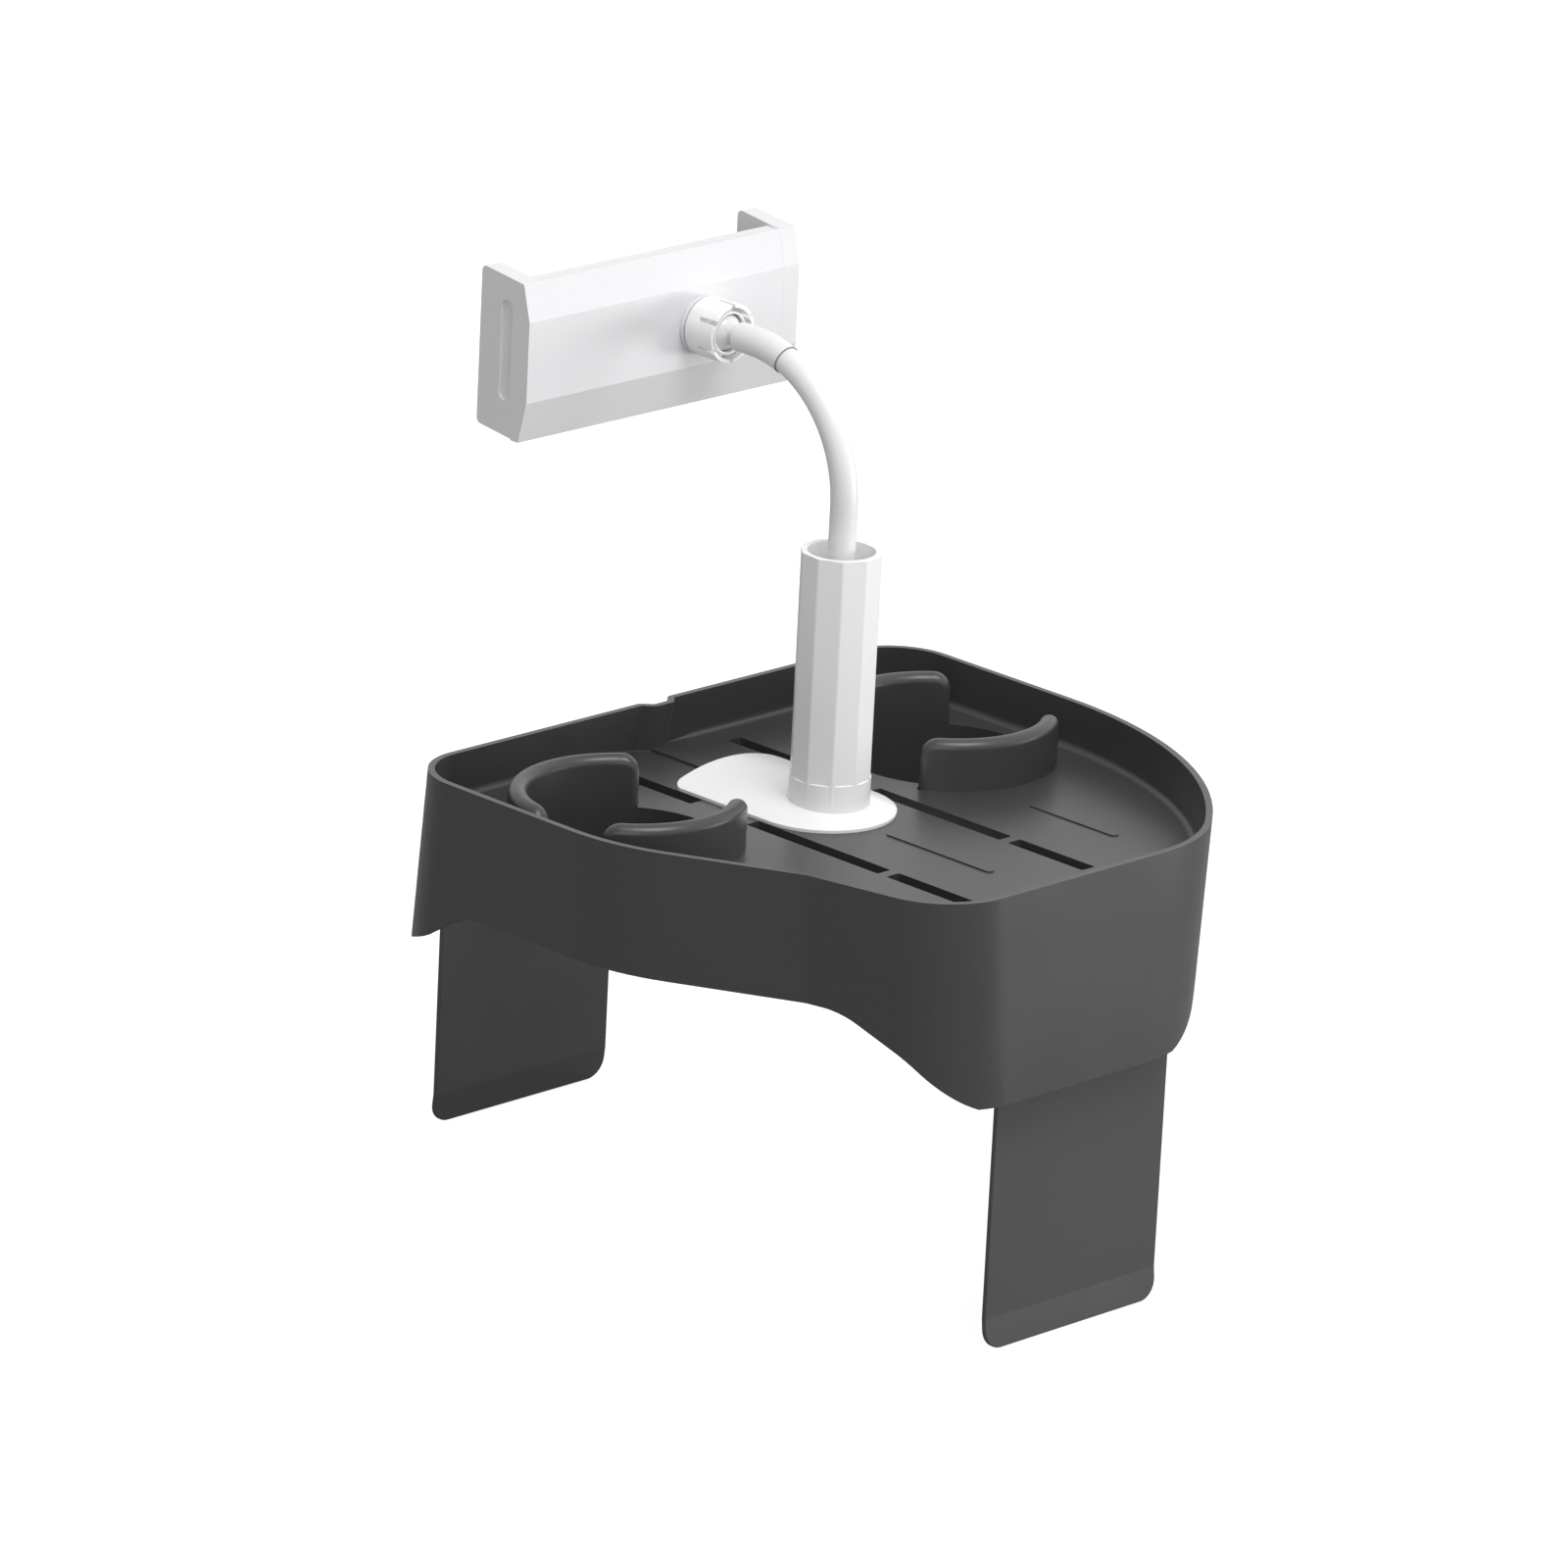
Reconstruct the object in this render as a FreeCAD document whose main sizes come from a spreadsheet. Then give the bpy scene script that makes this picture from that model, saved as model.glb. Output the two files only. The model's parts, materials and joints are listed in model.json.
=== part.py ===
"""Hot tub tray: a moulded tray with two cup places that stands on two sliding leg brackets
and carries a phone holder on a bent neck.

Every piece is drawn in the tray's own frame: X across, Y along the tray with zero at the rim
of the wide end, Z up with zero at the top of the tray's floor. One placement then puts the
whole drawing on its feet, with the middle of its footprint at the origin.
"""
import FreeCAD, Part
import math
import os
import re
import Sketcher

Vector = FreeCAD.Vector

doc = FreeCAD.newDocument("hot_tub_tray")
sizes = doc.addObject("Spreadsheet::Sheet", "Sizes")

# Driving dimensions in millimetres and degrees, grouped by the piece they belong to.
TRAY_SIZES = {
    "tray_length": 275.0,
    "rim_height": 21.3,
    "skirt_depth": 69.0,
    "floor_wall": 3.0,
    "side_wall": 3.0,
    "side_lean": 5.4,
    "wide_flare": 12.6,
    "narrow_flare": 4.6,
    "wide_corner": 30.0,
    "near_bend_setback": 129.6,
    "near_bend_angle": 27.6,
    "near_bend_radius": 98.5,
    "near_diagonal": 85.8,
    "near_hollow_radius": 11.4,
    "near_tail_angle": 12.6,
    "near_corner": 35.8,
    "far_bend_setback": 197.2,
    "far_bend_angle": 49.5,
    "far_bend_radius": 198.0,
    "far_corner": 71.8,
    "notch_width": 17.0,
    "notch_depth": 4.5,
    "notch_outer_round": 3.6,
    "notch_inner_round": 1.2,
    "ridge_width": 9.0,
    "ridge_height": 1.0,
}
SKIRT_SIZES = {
    "cut_room": 1.0,
    "arch_wide_setback": 40.8,
    "arch_wide_run": 26.0,
    "arch_wide_drop": 16.5,
    "arch_wide_toe": 6.0,
    "arch_wide_toe_drop": 13.0,
    "arch_narrow_setback": 222.0,
    "arch_narrow_run": 32.0,
    "arch_narrow_drop": 14.4,
    "arch_narrow_toe": 2.6,
    "arch_round": 40.0,
    "archway_width": 100.0,
    "archway_top": 12.0,
    "archway_round": 10.0,
}
CUP_SIZES = {
    "cup_setback": 82.8,
    "cup_bore": 84.8,
    "well_depth": 35.6,
    "well_wall": 3.0,
    "well_gap": 1.6,
    "ring_wall": 8.4,
    "ring_gap": 4.5,
    "ring_height": 22.5,
    "ring_end_round": 8.0,
    "back_arc_start": 40.0,
    "back_arc_sweep": 138.0,
    "front_arc_start": 213.0,
    "front_arc_sweep": 102.0,
}
FLOOR_SIZES = {
    "slot_width": 7.7,
    "slot_corner": 1.0,
    "slot_depth": 6.0,
    "slot_lip_wall": 1.2,
    "wide_slot_setback": 13.8,
    "wide_slot_length": 52.0,
    "middle_slot_setback": 99.8,
    "middle_slot_length": 79.0,
    "narrow_slot_setback": 183.8,
    "narrow_slot_length": 44.0,
    "rib_width": 4.2,
    "rib_height": 0.6,
    "centre_rib_setback": 144.8,
    "centre_rib_length": 62.0,
    "side_rib_setback": 154.8,
    "side_rib_length": 51.0,
    "side_rib_spacing": 153.8,
}
SLIDE_SIZES = {
    "runner_overlap": 1.5,
    "runner_width": 6.0,
    "runner_drop": 16.0,
    "runner_setback": 12.0,
    "runner_length": 243.0,
    "rail_lip": 9.0,
    "rail_lip_wall": 2.5,
    "slide_clearance": 0.15,
    "rail_screw_size": 2.8,
    "rail_screw_head": 5.0,
    "rail_screw_head_height": 1.8,
    "rail_screw_bite": 9.0,
    "rail_screw_setback": 22.0,
    "rail_screw_inset": 2.2,
    "screw_clearance": 0.1,
    "screw_tip_room": 0.2,
}
LEG_SIZES = {
    "floor_height": 185.0,
    "leg_width": 103.0,
    "leg_wall": 2.4,
    "leg_corner": 9.0,
    "leg_bend": 5.0,
    "arm_shoulder": 8.5,
    "waist_shoulder": 14.5,
    "shoulder_drop": 25.0,
    "waist_clearance": 4.0,
    "toe_height": 14.0,
    "toe_kick": 1.5,
    "wide_leg_reach": 72.0,
    "wide_arm_length": 108.0,
    "narrow_leg_setback": 263.4,
    "narrow_arm_length": 112.0,
}
POST_SIZES = {
    "post_setback": 108.8,
    "base_gap": 0.4,
    "base_setback": 104.8,
    "base_length": 59.0,
    "base_edge": 1.4,
    "base_crown": 7.6,
    "base_corner": 6.0,
    "post_size": 35.2,
    "post_wall": 3.0,
    "post_seat": 2.2,
    "post_top": 116.8,
    "post_collar": 17.0,
    "post_flat": 0.7,
    "post_flat_turn": 5.5,
    "post_fit": 0.05,
    "base_screw_row": 38.0,
    "ridge_gap": 0.5,
    "base_screw_size": 4.0,
    "base_screw_head": 7.5,
    "base_screw_head_height": 2.2,
    "base_screw_margin": 10.6,
    "base_screw_bite": 2.0,
}
NECK_SIZES = {
    "neck_size": 11.8,
    "neck_bend": 58.7,
    "neck_rise": 136.2,
    "plug_length": 18.0,
    "plug_recess": 14.0,
    "neck_fit": 0.05,
    "ferrule_size": 15.0,
    "ferrule_height": 3.0,
    "sleeve_angle": 70.0,
    "sleeve_size": 12.8,
    "sleeve_end": 7.4,
    "ball_size": 18.0,
    "stem_size": 7.2,
    "ball_reach": 13.0,
}
HOLDER_SIZES = {
    "nut_size": 26.0,
    "nut_reach": 8.0,
    "nut_length": 16.0,
    "nut_shell": 1.8,
    "nut_groove": 1.7,
    "nut_groove_depth": 4.4,
    "nut_ring_setback": 1.5,
    "nut_lip_reach": 4.0,
    "nut_slot": 1.8,
    "nut_slot_length": 9.5,
    "socket_size": 21.0,
    "socket_flange": 2.0,
    "socket_lip": 2.3,
    "ball_clearance": 0.3,
    "thread_fit": 0.1,
    "holder_reach": 11.0,
    "holder_left": 101.6,
    "holder_right": 57.6,
    "band_low": 18.2,
    "band_high": 17.3,
    "chamfer_depth": 4.2,
    "holder_depth": 12.0,
    "holder_drop": 36.2,
    "holder_rise": 33.0,
    "cover_wall": 3.0,
    "jaw_wall": 9.0,
    "jaw_reach": 18.0,
    "jaw_lift": 3.2,
    "jaw_round": 2.5,
    "end_slot_height": 43.5,
    "end_slot_lift": 2.6,
    "end_slot_width": 6.5,
    "end_slot_setback": 10.7,
    "end_slot_depth": 1.3,
    "rod_size": 4.0,
    "rod_length": 60.0,
    "rod_spacing": 40.0,
    "rod_fit": 0.1,
    "rod_socket": 5.0,
    "rod_end_room": 2.0,
    "pad_wall": 1.5,
    "pad_height": 46.0,
    "pad_width": 12.0,
    "pad_round": 3.0,
}
ALL_SIZES = {}
for group in (TRAY_SIZES, SKIRT_SIZES, CUP_SIZES, FLOOR_SIZES, SLIDE_SIZES, LEG_SIZES,
              POST_SIZES, NECK_SIZES, HOLDER_SIZES):
    ALL_SIZES.update(group)
for row, (alias, size) in enumerate(ALL_SIZES.items(), start=1):
    sizes.set("A%d" % row, alias)
    sizes.set("B%d" % row, str(size))
    sizes.setAlias("B%d" % row, alias)
doc.recompute()


def cell(text):
    """Write an expression of plain size names as one of sheet references."""
    def name(found):
        word = found.group(0)
        return "Sizes." + word if word in ALL_SIZES else word
    return re.sub(r"[a-z_]+", name, text)


def number(text):
    """The value of an expression of size names, as a plain number."""
    return float(sizes.evalExpression(cell(str(text))))


# Where the drawing stands: the footprint runs from the foot of the flared narrow end to the
# toe of the wide leg, and its middle is the origin.
WIDE_TOE = "(wide_leg_reach + leg_wall + toe_kick)"
RIM_OFFSET = "(tray_length + narrow_flare - " + WIDE_TOE + ") / 2"

# Where the bend of the neck ends and where the ball of the holder's joint sits.
PLUG_LOW = "(post_top - plug_recess - plug_length)"
NECK_TOP = "(neck_rise + neck_bend)"
BALL_SETBACK = "(post_setback - neck_bend - sleeve_end - ball_reach)"
POST_FLATS = 10
NUT_SLOTS = 6

# The widths are worked out from the leg outward: its arm, the runners beside the arm, the
# drain slots and cup wells beside the runners, and the wall outside the cup rings.
ARM_EDGE = "(leg_width / 2 - arm_shoulder)"
RUNNER_INSIDE = "(" + ARM_EDGE + " - runner_overlap)"
RUNNER_OUTSIDE = "(" + RUNNER_INSIDE + " + runner_width)"
SLOT_EDGE = "(" + RUNNER_INSIDE + " - slot_lip_wall - slot_width)"
SLOT_ACROSS = "(" + SLOT_EDGE + " + slot_width / 2)"
CUP_ACROSS = "(" + RUNNER_OUTSIDE + " + well_gap + well_wall + cup_bore / 2)"
TRAY_WIDTH = "(2 * (" + CUP_ACROSS + " + cup_bore / 2 + ring_wall + ring_gap))"
BASE_HALF = "(" + SLOT_EDGE + " - base_gap)"
BASE_SCREW_ACROSS = "(" + SLOT_EDGE + " - base_screw_margin)"

# A round end leaves a short straight between its two rounds, so that both keep a side to
# start from: each takes this share of half the width.
ROUND_SHARE = " / 2 * 0.98"


def place(piece, setback="0", rise="0"):
    """Stand a piece on its feet with the rest of the drawing.

    A piece that is drawn about an axis of its own says how far that axis lies behind the
    wide rim and how high its origin is above the floor.
    """
    piece.setExpression("Placement.Base.y", cell(RIM_OFFSET + " - " + setback))
    piece.setExpression("Placement.Base.z", cell("floor_height + " + rise))


def new_body(label, setback="0", rise="0"):
    body = doc.addObject("PartDesign::Body", label)
    body.Label = label
    place(body, setback, rise)
    return body


def new_sketch(body, name, plane, lift="0"):
    """Make a sketch on one of the body's own planes, lifted along that plane's normal."""
    sketch = body.newObject("Sketcher::SketchObject", name)
    for feature in body.Origin.OriginFeatures:
        if feature.Role == plane:
            sketch.AttachmentSupport = (feature, [""])
    sketch.MapMode = "FlatFace"
    sketch.setExpression("AttachmentOffset.Base.z", cell(lift))
    return sketch


def bind(sketch, constraint, expression):
    """Add a constraint whose value follows the sheet."""
    index = sketch.addConstraint(constraint)
    sketch.setExpression("Constraints[%d]" % index, cell(str(expression)))


def pin_point(sketch, item, end, across, up):
    """Hold one point of a sketch at two expressions."""
    bind(sketch, Sketcher.Constraint("DistanceX", -1, 1, item, end, number(across)), across)
    bind(sketch, Sketcher.Constraint("DistanceY", -1, 1, item, end, number(up)), up)


def corner_points(corners):
    """Where each rounded corner of a closed outline begins, bulges and ends."""
    points = []
    for index, (x, y, radius) in enumerate(corners):
        here = Vector(x, y, 0)
        before = Vector(*corners[index - 1][:2], 0) - here
        after = Vector(*corners[(index + 1) % len(corners)][:2], 0) - here
        before.normalize()
        after.normalize()
        half = before.getAngle(after) / 2
        reach = radius / math.tan(half) if radius else 0.0
        middle = before + after
        if radius:
            middle.normalize()
            middle = here + middle * (radius / math.sin(half) - radius)
        points.append((here + before * reach, middle, here + after * reach))
    return points


def outline(sketch, corners):
    """Draw a closed outline of straight sides and rounded corners, each (x, y, radius).

    Each value is a number or an expression of sizes; the point where the two sides of a
    corner would meet is held by it, and the round is tangent to both sides.
    """
    values = [tuple(number(part) for part in corner) for corner in corners]
    points = corner_points(values)
    count = len(corners)
    sides = []
    for index in range(count):
        start = points[index][2]
        end = points[(index + 1) % count][0]
        sides.append(sketch.addGeometry(Part.LineSegment(start, end), False))
    for index, (x, y, radius) in enumerate(corners):
        before = sides[index - 1]
        after = sides[index]
        if values[index][2] == 0:
            sketch.addConstraint(Sketcher.Constraint("Coincident", before, 2, after, 1))
            pin_point(sketch, after, 1, x, y)
            continue
        begin, middle, end = points[index]
        arc = Part.Arc(begin, middle, end)
        item = sketch.addGeometry(arc, False)
        first, last = 1, 2
        if sketch.getPoint(item, 1).distanceToPoint(begin) > 1e-6:
            first, last = 2, 1
        sketch.addConstraint(Sketcher.Constraint("Tangent", before, 2, item, first))
        sketch.addConstraint(Sketcher.Constraint("Tangent", item, last, after, 1))
        bind(sketch, Sketcher.Constraint("Radius", item, values[index][2]), radius)
        corner = sketch.addGeometry(Part.Point(Vector(values[index][0], values[index][1], 0)), True)
        sketch.addConstraint(Sketcher.Constraint("PointOnObject", corner, 1, before))
        sketch.addConstraint(Sketcher.Constraint("PointOnObject", corner, 1, after))
        pin_point(sketch, corner, 1, x, y)


def stretch(sketch, begin, end, radius):
    """One stretch between two points: straight, or an arc that bulges to the left of the way
    when its radius is negative. It returns the item and its first and last point."""
    first = Vector(number(begin[0]), number(begin[1]), 0)
    last = Vector(number(end[0]), number(end[1]), 0)
    bend = number(radius)
    if bend == 0:
        return sketch.addGeometry(Part.LineSegment(first, last), False), 1, 2
    way = last - first
    half = way.Length / 2
    way.normalize()
    left = Vector(-way.y, way.x, 0)
    side = 1 if bend > 0 else -1
    rise = abs(bend) - math.sqrt(max(bend * bend - half * half, 0.0))
    middle = (first + last) / 2 - left * rise * side
    item = sketch.addGeometry(Part.Arc(first, middle, last), False)
    bind(sketch, Sketcher.Constraint("Radius", item, abs(bend)), "abs(" + radius + ")")
    if sketch.getPoint(item, 1).distanceToPoint(first) < 1e-6:
        return item, 1, 2
    return item, 2, 1


def chain(sketch, nodes):
    """A closed outline of nodes (x, y, radius); a radius bends the stretch after its node."""
    items = []
    for index, (x, y, radius) in enumerate(nodes):
        next_x, next_y, _ = nodes[(index + 1) % len(nodes)]
        items.append(stretch(sketch, (x, y), (next_x, next_y), str(radius)))
    for index, (x, y, radius) in enumerate(nodes):
        before = items[index - 1]
        after = items[index]
        sketch.addConstraint(Sketcher.Constraint("Coincident", before[0], before[2],
                                                 after[0], after[1]))
        pin_point(sketch, after[0], after[1], x, y)


def circle(sketch, across, up, diameter):
    """Draw a circle whose centre and size follow the sheet."""
    centre = Vector(number(across), number(up), 0)
    item = sketch.addGeometry(Part.Circle(centre, Vector(0, 0, 1), number(diameter) / 2), False)
    bind(sketch, Sketcher.Constraint("Diameter", item, number(diameter)), diameter)
    pin_point(sketch, item, 3, across, up)


def box_outline(sketch, left, low, right, high, radius=0):
    outline(sketch, [(left, low, radius), (right, low, radius),
                     (right, high, radius), (left, high, radius)])


def pad(body, sketch, name, length, reverse=False, middle=False):
    feature = body.newObject("PartDesign::Pad", name)
    feature.Profile = sketch
    feature.Reversed = reverse
    feature.Midplane = middle
    feature.setExpression("Length", cell(length))
    body.Tip = feature
    doc.recompute()
    return feature


def pocket(body, sketch, name, length, reverse=False, middle=False):
    """Cut a sketch into the body and make sure that it did cut."""
    before = body.Shape.Volume
    feature = body.newObject("PartDesign::Pocket", name)
    feature.Profile = sketch
    feature.Reversed = reverse
    feature.Midplane = middle
    feature.setExpression("Length", cell(length))
    body.Tip = feature
    doc.recompute()
    if not feature.Shape.Volume < before - 1e-6:
        raise RuntimeError(name + " cuts nothing")
    return feature


def loft(body, kind, name, first, last):
    feature = body.newObject("PartDesign::" + kind, name)
    feature.Profile = first
    feature.Sections = [last]
    feature.Ruled = True
    body.Tip = feature
    doc.recompute()
    return feature


def ring_pattern(body, name, feature, axis_role, copies):
    pattern = body.newObject("PartDesign::PolarPattern", name)
    pattern.Originals = [feature]
    for item in body.Origin.OriginFeatures:
        if item.Role == axis_role:
            pattern.Axis = (item, [""])
    pattern.Angle = 360
    pattern.Occurrences = copies
    body.Tip = pattern
    doc.recompute()
    return pattern


# The plan of the tray. Its near long side bends once and hollows into a short tail, its far
# long side sweeps round in one large curve, and both end in the rounded narrow end.
def tray_corners(drop):
    """Corners of the outer face at a depth below the rim, as plain numbers."""
    share = drop / number("rim_height + skirt_depth")
    side = number(TRAY_WIDTH) / 2 - number("side_lean") * share
    wide = number("wide_flare") * share
    narrow = -number("tray_length") - number("narrow_flare") * share
    bend = math.radians(number("near_bend_angle"))
    tail = math.radians(number("near_tail_angle"))
    sweep = math.radians(number("far_bend_angle"))
    bend_y = -number("near_bend_setback")
    hollow_x = -side + number("near_diagonal") * math.sin(bend)
    hollow_y = bend_y - number("near_diagonal") * math.cos(bend)
    tail_x = hollow_x + (hollow_y - narrow) * math.tan(tail)
    far_y = -number("far_bend_setback")
    far_x = side - (far_y - narrow) * math.tan(sweep)
    notch = number("notch_width") / 2
    depth = number("notch_depth")
    outer_round = number("notch_outer_round")
    inner_round = number("notch_inner_round")
    return [
        (side, wide, number("wide_corner")),
        (notch, wide, outer_round),
        (notch - depth, wide - depth, -inner_round),
        (depth - notch, wide - depth, -inner_round),
        (-notch, wide, outer_round),
        (-side, wide, number("wide_corner")),
        (-side, bend_y, number("near_bend_radius")),
        (hollow_x, hollow_y, -number("near_hollow_radius")),
        (tail_x, narrow, number("near_corner")),
        (far_x, narrow, number("far_corner")),
        (side, far_y, number("far_bend_radius")),
    ]


def inset(corners, wall):
    """Move an outline inward by a wall; a hollow corner is the one with a negative radius."""
    moved = []
    for index, (x, y, radius) in enumerate(corners):
        here = Vector(x, y, 0)
        arrive = here - Vector(*corners[index - 1][:2], 0)
        leave = Vector(*corners[(index + 1) % len(corners)][:2], 0) - here
        arrive.normalize()
        leave.normalize()
        inward = Vector(-arrive.y - leave.y, arrive.x + leave.x, 0)
        inward.normalize()
        half = arrive.getAngle(leave) / 2
        spot = here + inward * (wall / math.cos(half))
        moved.append((spot.x, spot.y, radius - wall))
    return moved


def tray_outline(body, name, height, wall):
    """Sketch the tray's outline at a height, moved inward by a wall."""
    sketch = new_sketch(body, name, "XY_Plane", height)
    corners = tray_corners(number("rim_height") - number(height))
    if wall:
        corners = inset(corners, number(wall))
    outline(sketch, [(x, y, abs(radius)) for x, y, radius in corners])
    return sketch


def slot_outline(sketch, across, setback, length, width, corner, margin="0"):
    """A long outline that starts at a setback from the wide rim, grown by a margin."""
    left = across + " - " + width + " / 2 - " + margin
    right = across + " + " + width + " / 2 + " + margin
    box_outline(sketch, left, "-" + setback + " - " + length + " - " + margin, right,
                "-" + setback + " + " + margin, corner)


def tray_shell(body):
    """Drafted side wall, floor and hanging skirt."""
    rim = tray_outline(body, "rim_outline", "rim_height", None)
    hem = tray_outline(body, "hem_outline", "0 - skirt_depth", None)
    loft(body, "AdditiveLoft", "outer_form", rim, hem)
    inner_rim = tray_outline(body, "inner_rim_outline", "rim_height", "side_wall")
    inner_floor = tray_outline(body, "inner_floor_outline", "0", "side_wall")
    loft(body, "SubtractiveLoft", "upper_hollow", inner_rim, inner_floor)
    under_floor = tray_outline(body, "under_floor_outline", "0 - floor_wall", "side_wall")
    inner_hem = tray_outline(body, "inner_hem_outline", "0 - skirt_depth", "side_wall")
    loft(body, "SubtractiveLoft", "lower_hollow", under_floor, inner_hem)


def skirt_cuts(body):
    """The long arch of the skirt, seen from the side, and the archway of the wide end."""
    arch = new_sketch(body, "arch_profile", "YZ_Plane")
    wide_foot = "0 - arch_wide_setback + arch_wide_run"
    narrow_foot = "0 - arch_narrow_setback - arch_narrow_run"
    outline(arch, [
        ("0 - arch_wide_setback", "0 - well_depth", "arch_round"),
        ("0 - arch_narrow_setback", "0 - well_depth", "arch_round"),
        (narrow_foot, "0 - well_depth - arch_narrow_drop", "arch_round"),
        ("0 - tray_length - arch_narrow_toe", "0 - skirt_depth - cut_room", 0),
        ("0 - tray_length - arch_narrow_toe", "0 - 2 * skirt_depth", 0),
        ("wide_flare + arch_wide_toe", "0 - 2 * skirt_depth", 0),
        ("wide_flare + arch_wide_toe", "0 - well_depth - arch_wide_drop - arch_wide_toe_drop", 0),
        (wide_foot, "0 - well_depth - arch_wide_drop", "arch_round / 4"),
    ])
    pocket(body, arch, "skirt_arch", TRAY_WIDTH + " + 2 * cut_room", middle=True)
    way = new_sketch(body, "archway_profile", "XZ_Plane", "0 - wide_flare - cut_room")
    outline(way, [
        ("0 - archway_width / 2", "0 - skirt_depth - cut_room", 0),
        ("archway_width / 2", "0 - skirt_depth - cut_room", 0),
        ("archway_width / 2", "0 - archway_top", "archway_round"),
        ("0 - archway_width / 2", "0 - archway_top", "archway_round"),
    ])
    pocket(body, way, "wide_archway", "wide_flare + runner_setback", reverse=True)


RAIL_GAP = "(leg_wall + slide_clearance)"
RAIL_UNDERSIDE = "(runner_drop + leg_wall + slide_clearance + rail_lip_wall)"
RAIL_SCREW_ACROSS = "(" + RUNNER_OUTSIDE + " - rail_screw_inset)"
RAIL_SCREWS_PER_SIDE = 4
BASE_SCREW_ROWS = ("0", "base_screw_row")


def rail_screw_setback(index):
    """How far behind the wide rim a screw of the rails sits."""
    step = "(runner_length - 2 * rail_screw_setback) / %d" % (RAIL_SCREWS_PER_SIDE - 1)
    return "(runner_setback + rail_screw_setback + %d * %s)" % (index, step)


def rail_screw_places():
    places = []
    for side in ("-", ""):
        for index in range(RAIL_SCREWS_PER_SIDE):
            places.append((side + RAIL_SCREW_ACROSS, "-" + rail_screw_setback(index)))
    return places


def base_screw_places():
    places = []
    for side in ("-", ""):
        for row in BASE_SCREW_ROWS:
            places.append((side + BASE_SCREW_ACROSS, "-base_setback + " + row))
    return places


def cup_wells(body):
    """The two cup wells: a cup hangs below each hole of the floor."""
    spots = [("-" + CUP_ACROSS, "-cup_setback"), (CUP_ACROSS, "-cup_setback")]
    outside = new_sketch(body, "well_outline", "XY_Plane")
    inside = new_sketch(body, "well_bore_outline", "XY_Plane")
    for across, back in spots:
        circle(outside, across, back, "cup_bore + 2 * well_wall")
        circle(inside, across, back, "cup_bore")
    pad(body, outside, "well_walls", "well_depth", reverse=True)
    pocket(body, inside, "well_bores", "well_depth - floor_wall")


def swing(sketch, across, angle):
    """Stand an upright sketch on a cup's axis and turn it about that axis."""
    sketch.AttachmentOffset = FreeCAD.Placement(
        Vector(0, 0, 0), FreeCAD.Rotation(Vector(0, 1, 0), number(angle)))
    sketch.setExpression("AttachmentOffset.Base.x", cell(across))
    sketch.setExpression("AttachmentOffset.Base.z", cell("cup_setback"))
    sketch.setExpression("AttachmentOffset.Rotation.Angle", cell(angle))


def ring_arc(body, name, across, start, sweep):
    """One stretch of a cup ring: a full-round wall whose two ends are rounded down."""
    section = new_sketch(body, name + "_section", "XZ_Plane")
    swing(section, across, start)
    inner = "cup_bore / 2"
    outer = "cup_bore / 2 + ring_wall"
    outline(section, [
        (inner, "0 - floor_wall / 2", 0),
        (outer, "0 - floor_wall / 2", 0),
        (outer, "ring_height", "ring_wall" + ROUND_SHARE),
        (inner, "ring_height", "ring_wall" + ROUND_SHARE),
    ])
    wall = body.newObject("PartDesign::Revolution", name)
    wall.Profile = section
    wall.ReferenceAxis = (section, ["V_Axis"])
    wall.setExpression("Angle", cell(sweep))
    body.Tip = wall
    doc.recompute()
    ends = (("first", start, "", "-"), ("last", start + " + " + sweep, "-", ""))
    for end, angle, onward, back in ends:
        corner = new_sketch(body, name + "_" + end + "_end", "XZ_Plane")
        swing(corner, across, angle + " + 90")
        low = "ring_height - ring_end_round"
        chain(corner, [
            ("0", low, back + "ring_end_round"),
            (onward + "ring_end_round", "ring_height", 0),
            (onward + "ring_end_round", "ring_height + cut_room", 0),
            (back + "cut_room", "ring_height + cut_room", 0),
            (back + "cut_room", low, 0),
        ])
        pocket(body, corner, name + "_" + end + "_round", outer + " + cut_room", reverse=True)


def cup_rings(body):
    for side, across in (("near", "-" + CUP_ACROSS), ("far", CUP_ACROSS)):
        ring_arc(body, side + "_back_arc", across, "back_arc_start", "back_arc_sweep")
        ring_arc(body, side + "_front_arc", across, "front_arc_start", "front_arc_sweep")


def floor_slots(body):
    """Three pairs of drain slots with lips below, three thin ribs and the ridge behind the post."""
    lips = new_sketch(body, "slot_lip_outlines", "XY_Plane", "0 - floor_wall / 2")
    holes = new_sketch(body, "slot_outlines", "XY_Plane")
    for across in ("-" + SLOT_ACROSS, SLOT_ACROSS):
        for row in ("wide_slot", "middle_slot", "narrow_slot"):
            place_of_row = (across, row + "_setback", row + "_length", "slot_width")
            slot_outline(lips, *place_of_row, 0, "slot_lip_wall")
            slot_outline(holes, *place_of_row, "slot_corner")
    pad(body, lips, "slot_lips", "slot_depth - floor_wall / 2", reverse=True)
    pocket(body, holes, "drain_slots", "slot_depth")
    ribs = new_sketch(body, "rib_outlines", "XY_Plane")
    rib_end = "rib_width" + ROUND_SHARE
    slot_outline(ribs, "0", "centre_rib_setback", "centre_rib_length", "rib_width", rib_end)
    for across in ("-side_rib_spacing / 2", "side_rib_spacing / 2"):
        slot_outline(ribs, across, "side_rib_setback", "side_rib_length", "rib_width", rib_end)
    pad(body, ribs, "raised_ribs", "rib_height")
    ridge = new_sketch(body, "ridge_outline", "XY_Plane")
    box_outline(ridge, "-ridge_width / 2", "-base_setback + base_length + ridge_gap",
                "ridge_width / 2", "-notch_depth")
    pad(body, ridge, "centre_ridge", "ridge_height")


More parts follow.
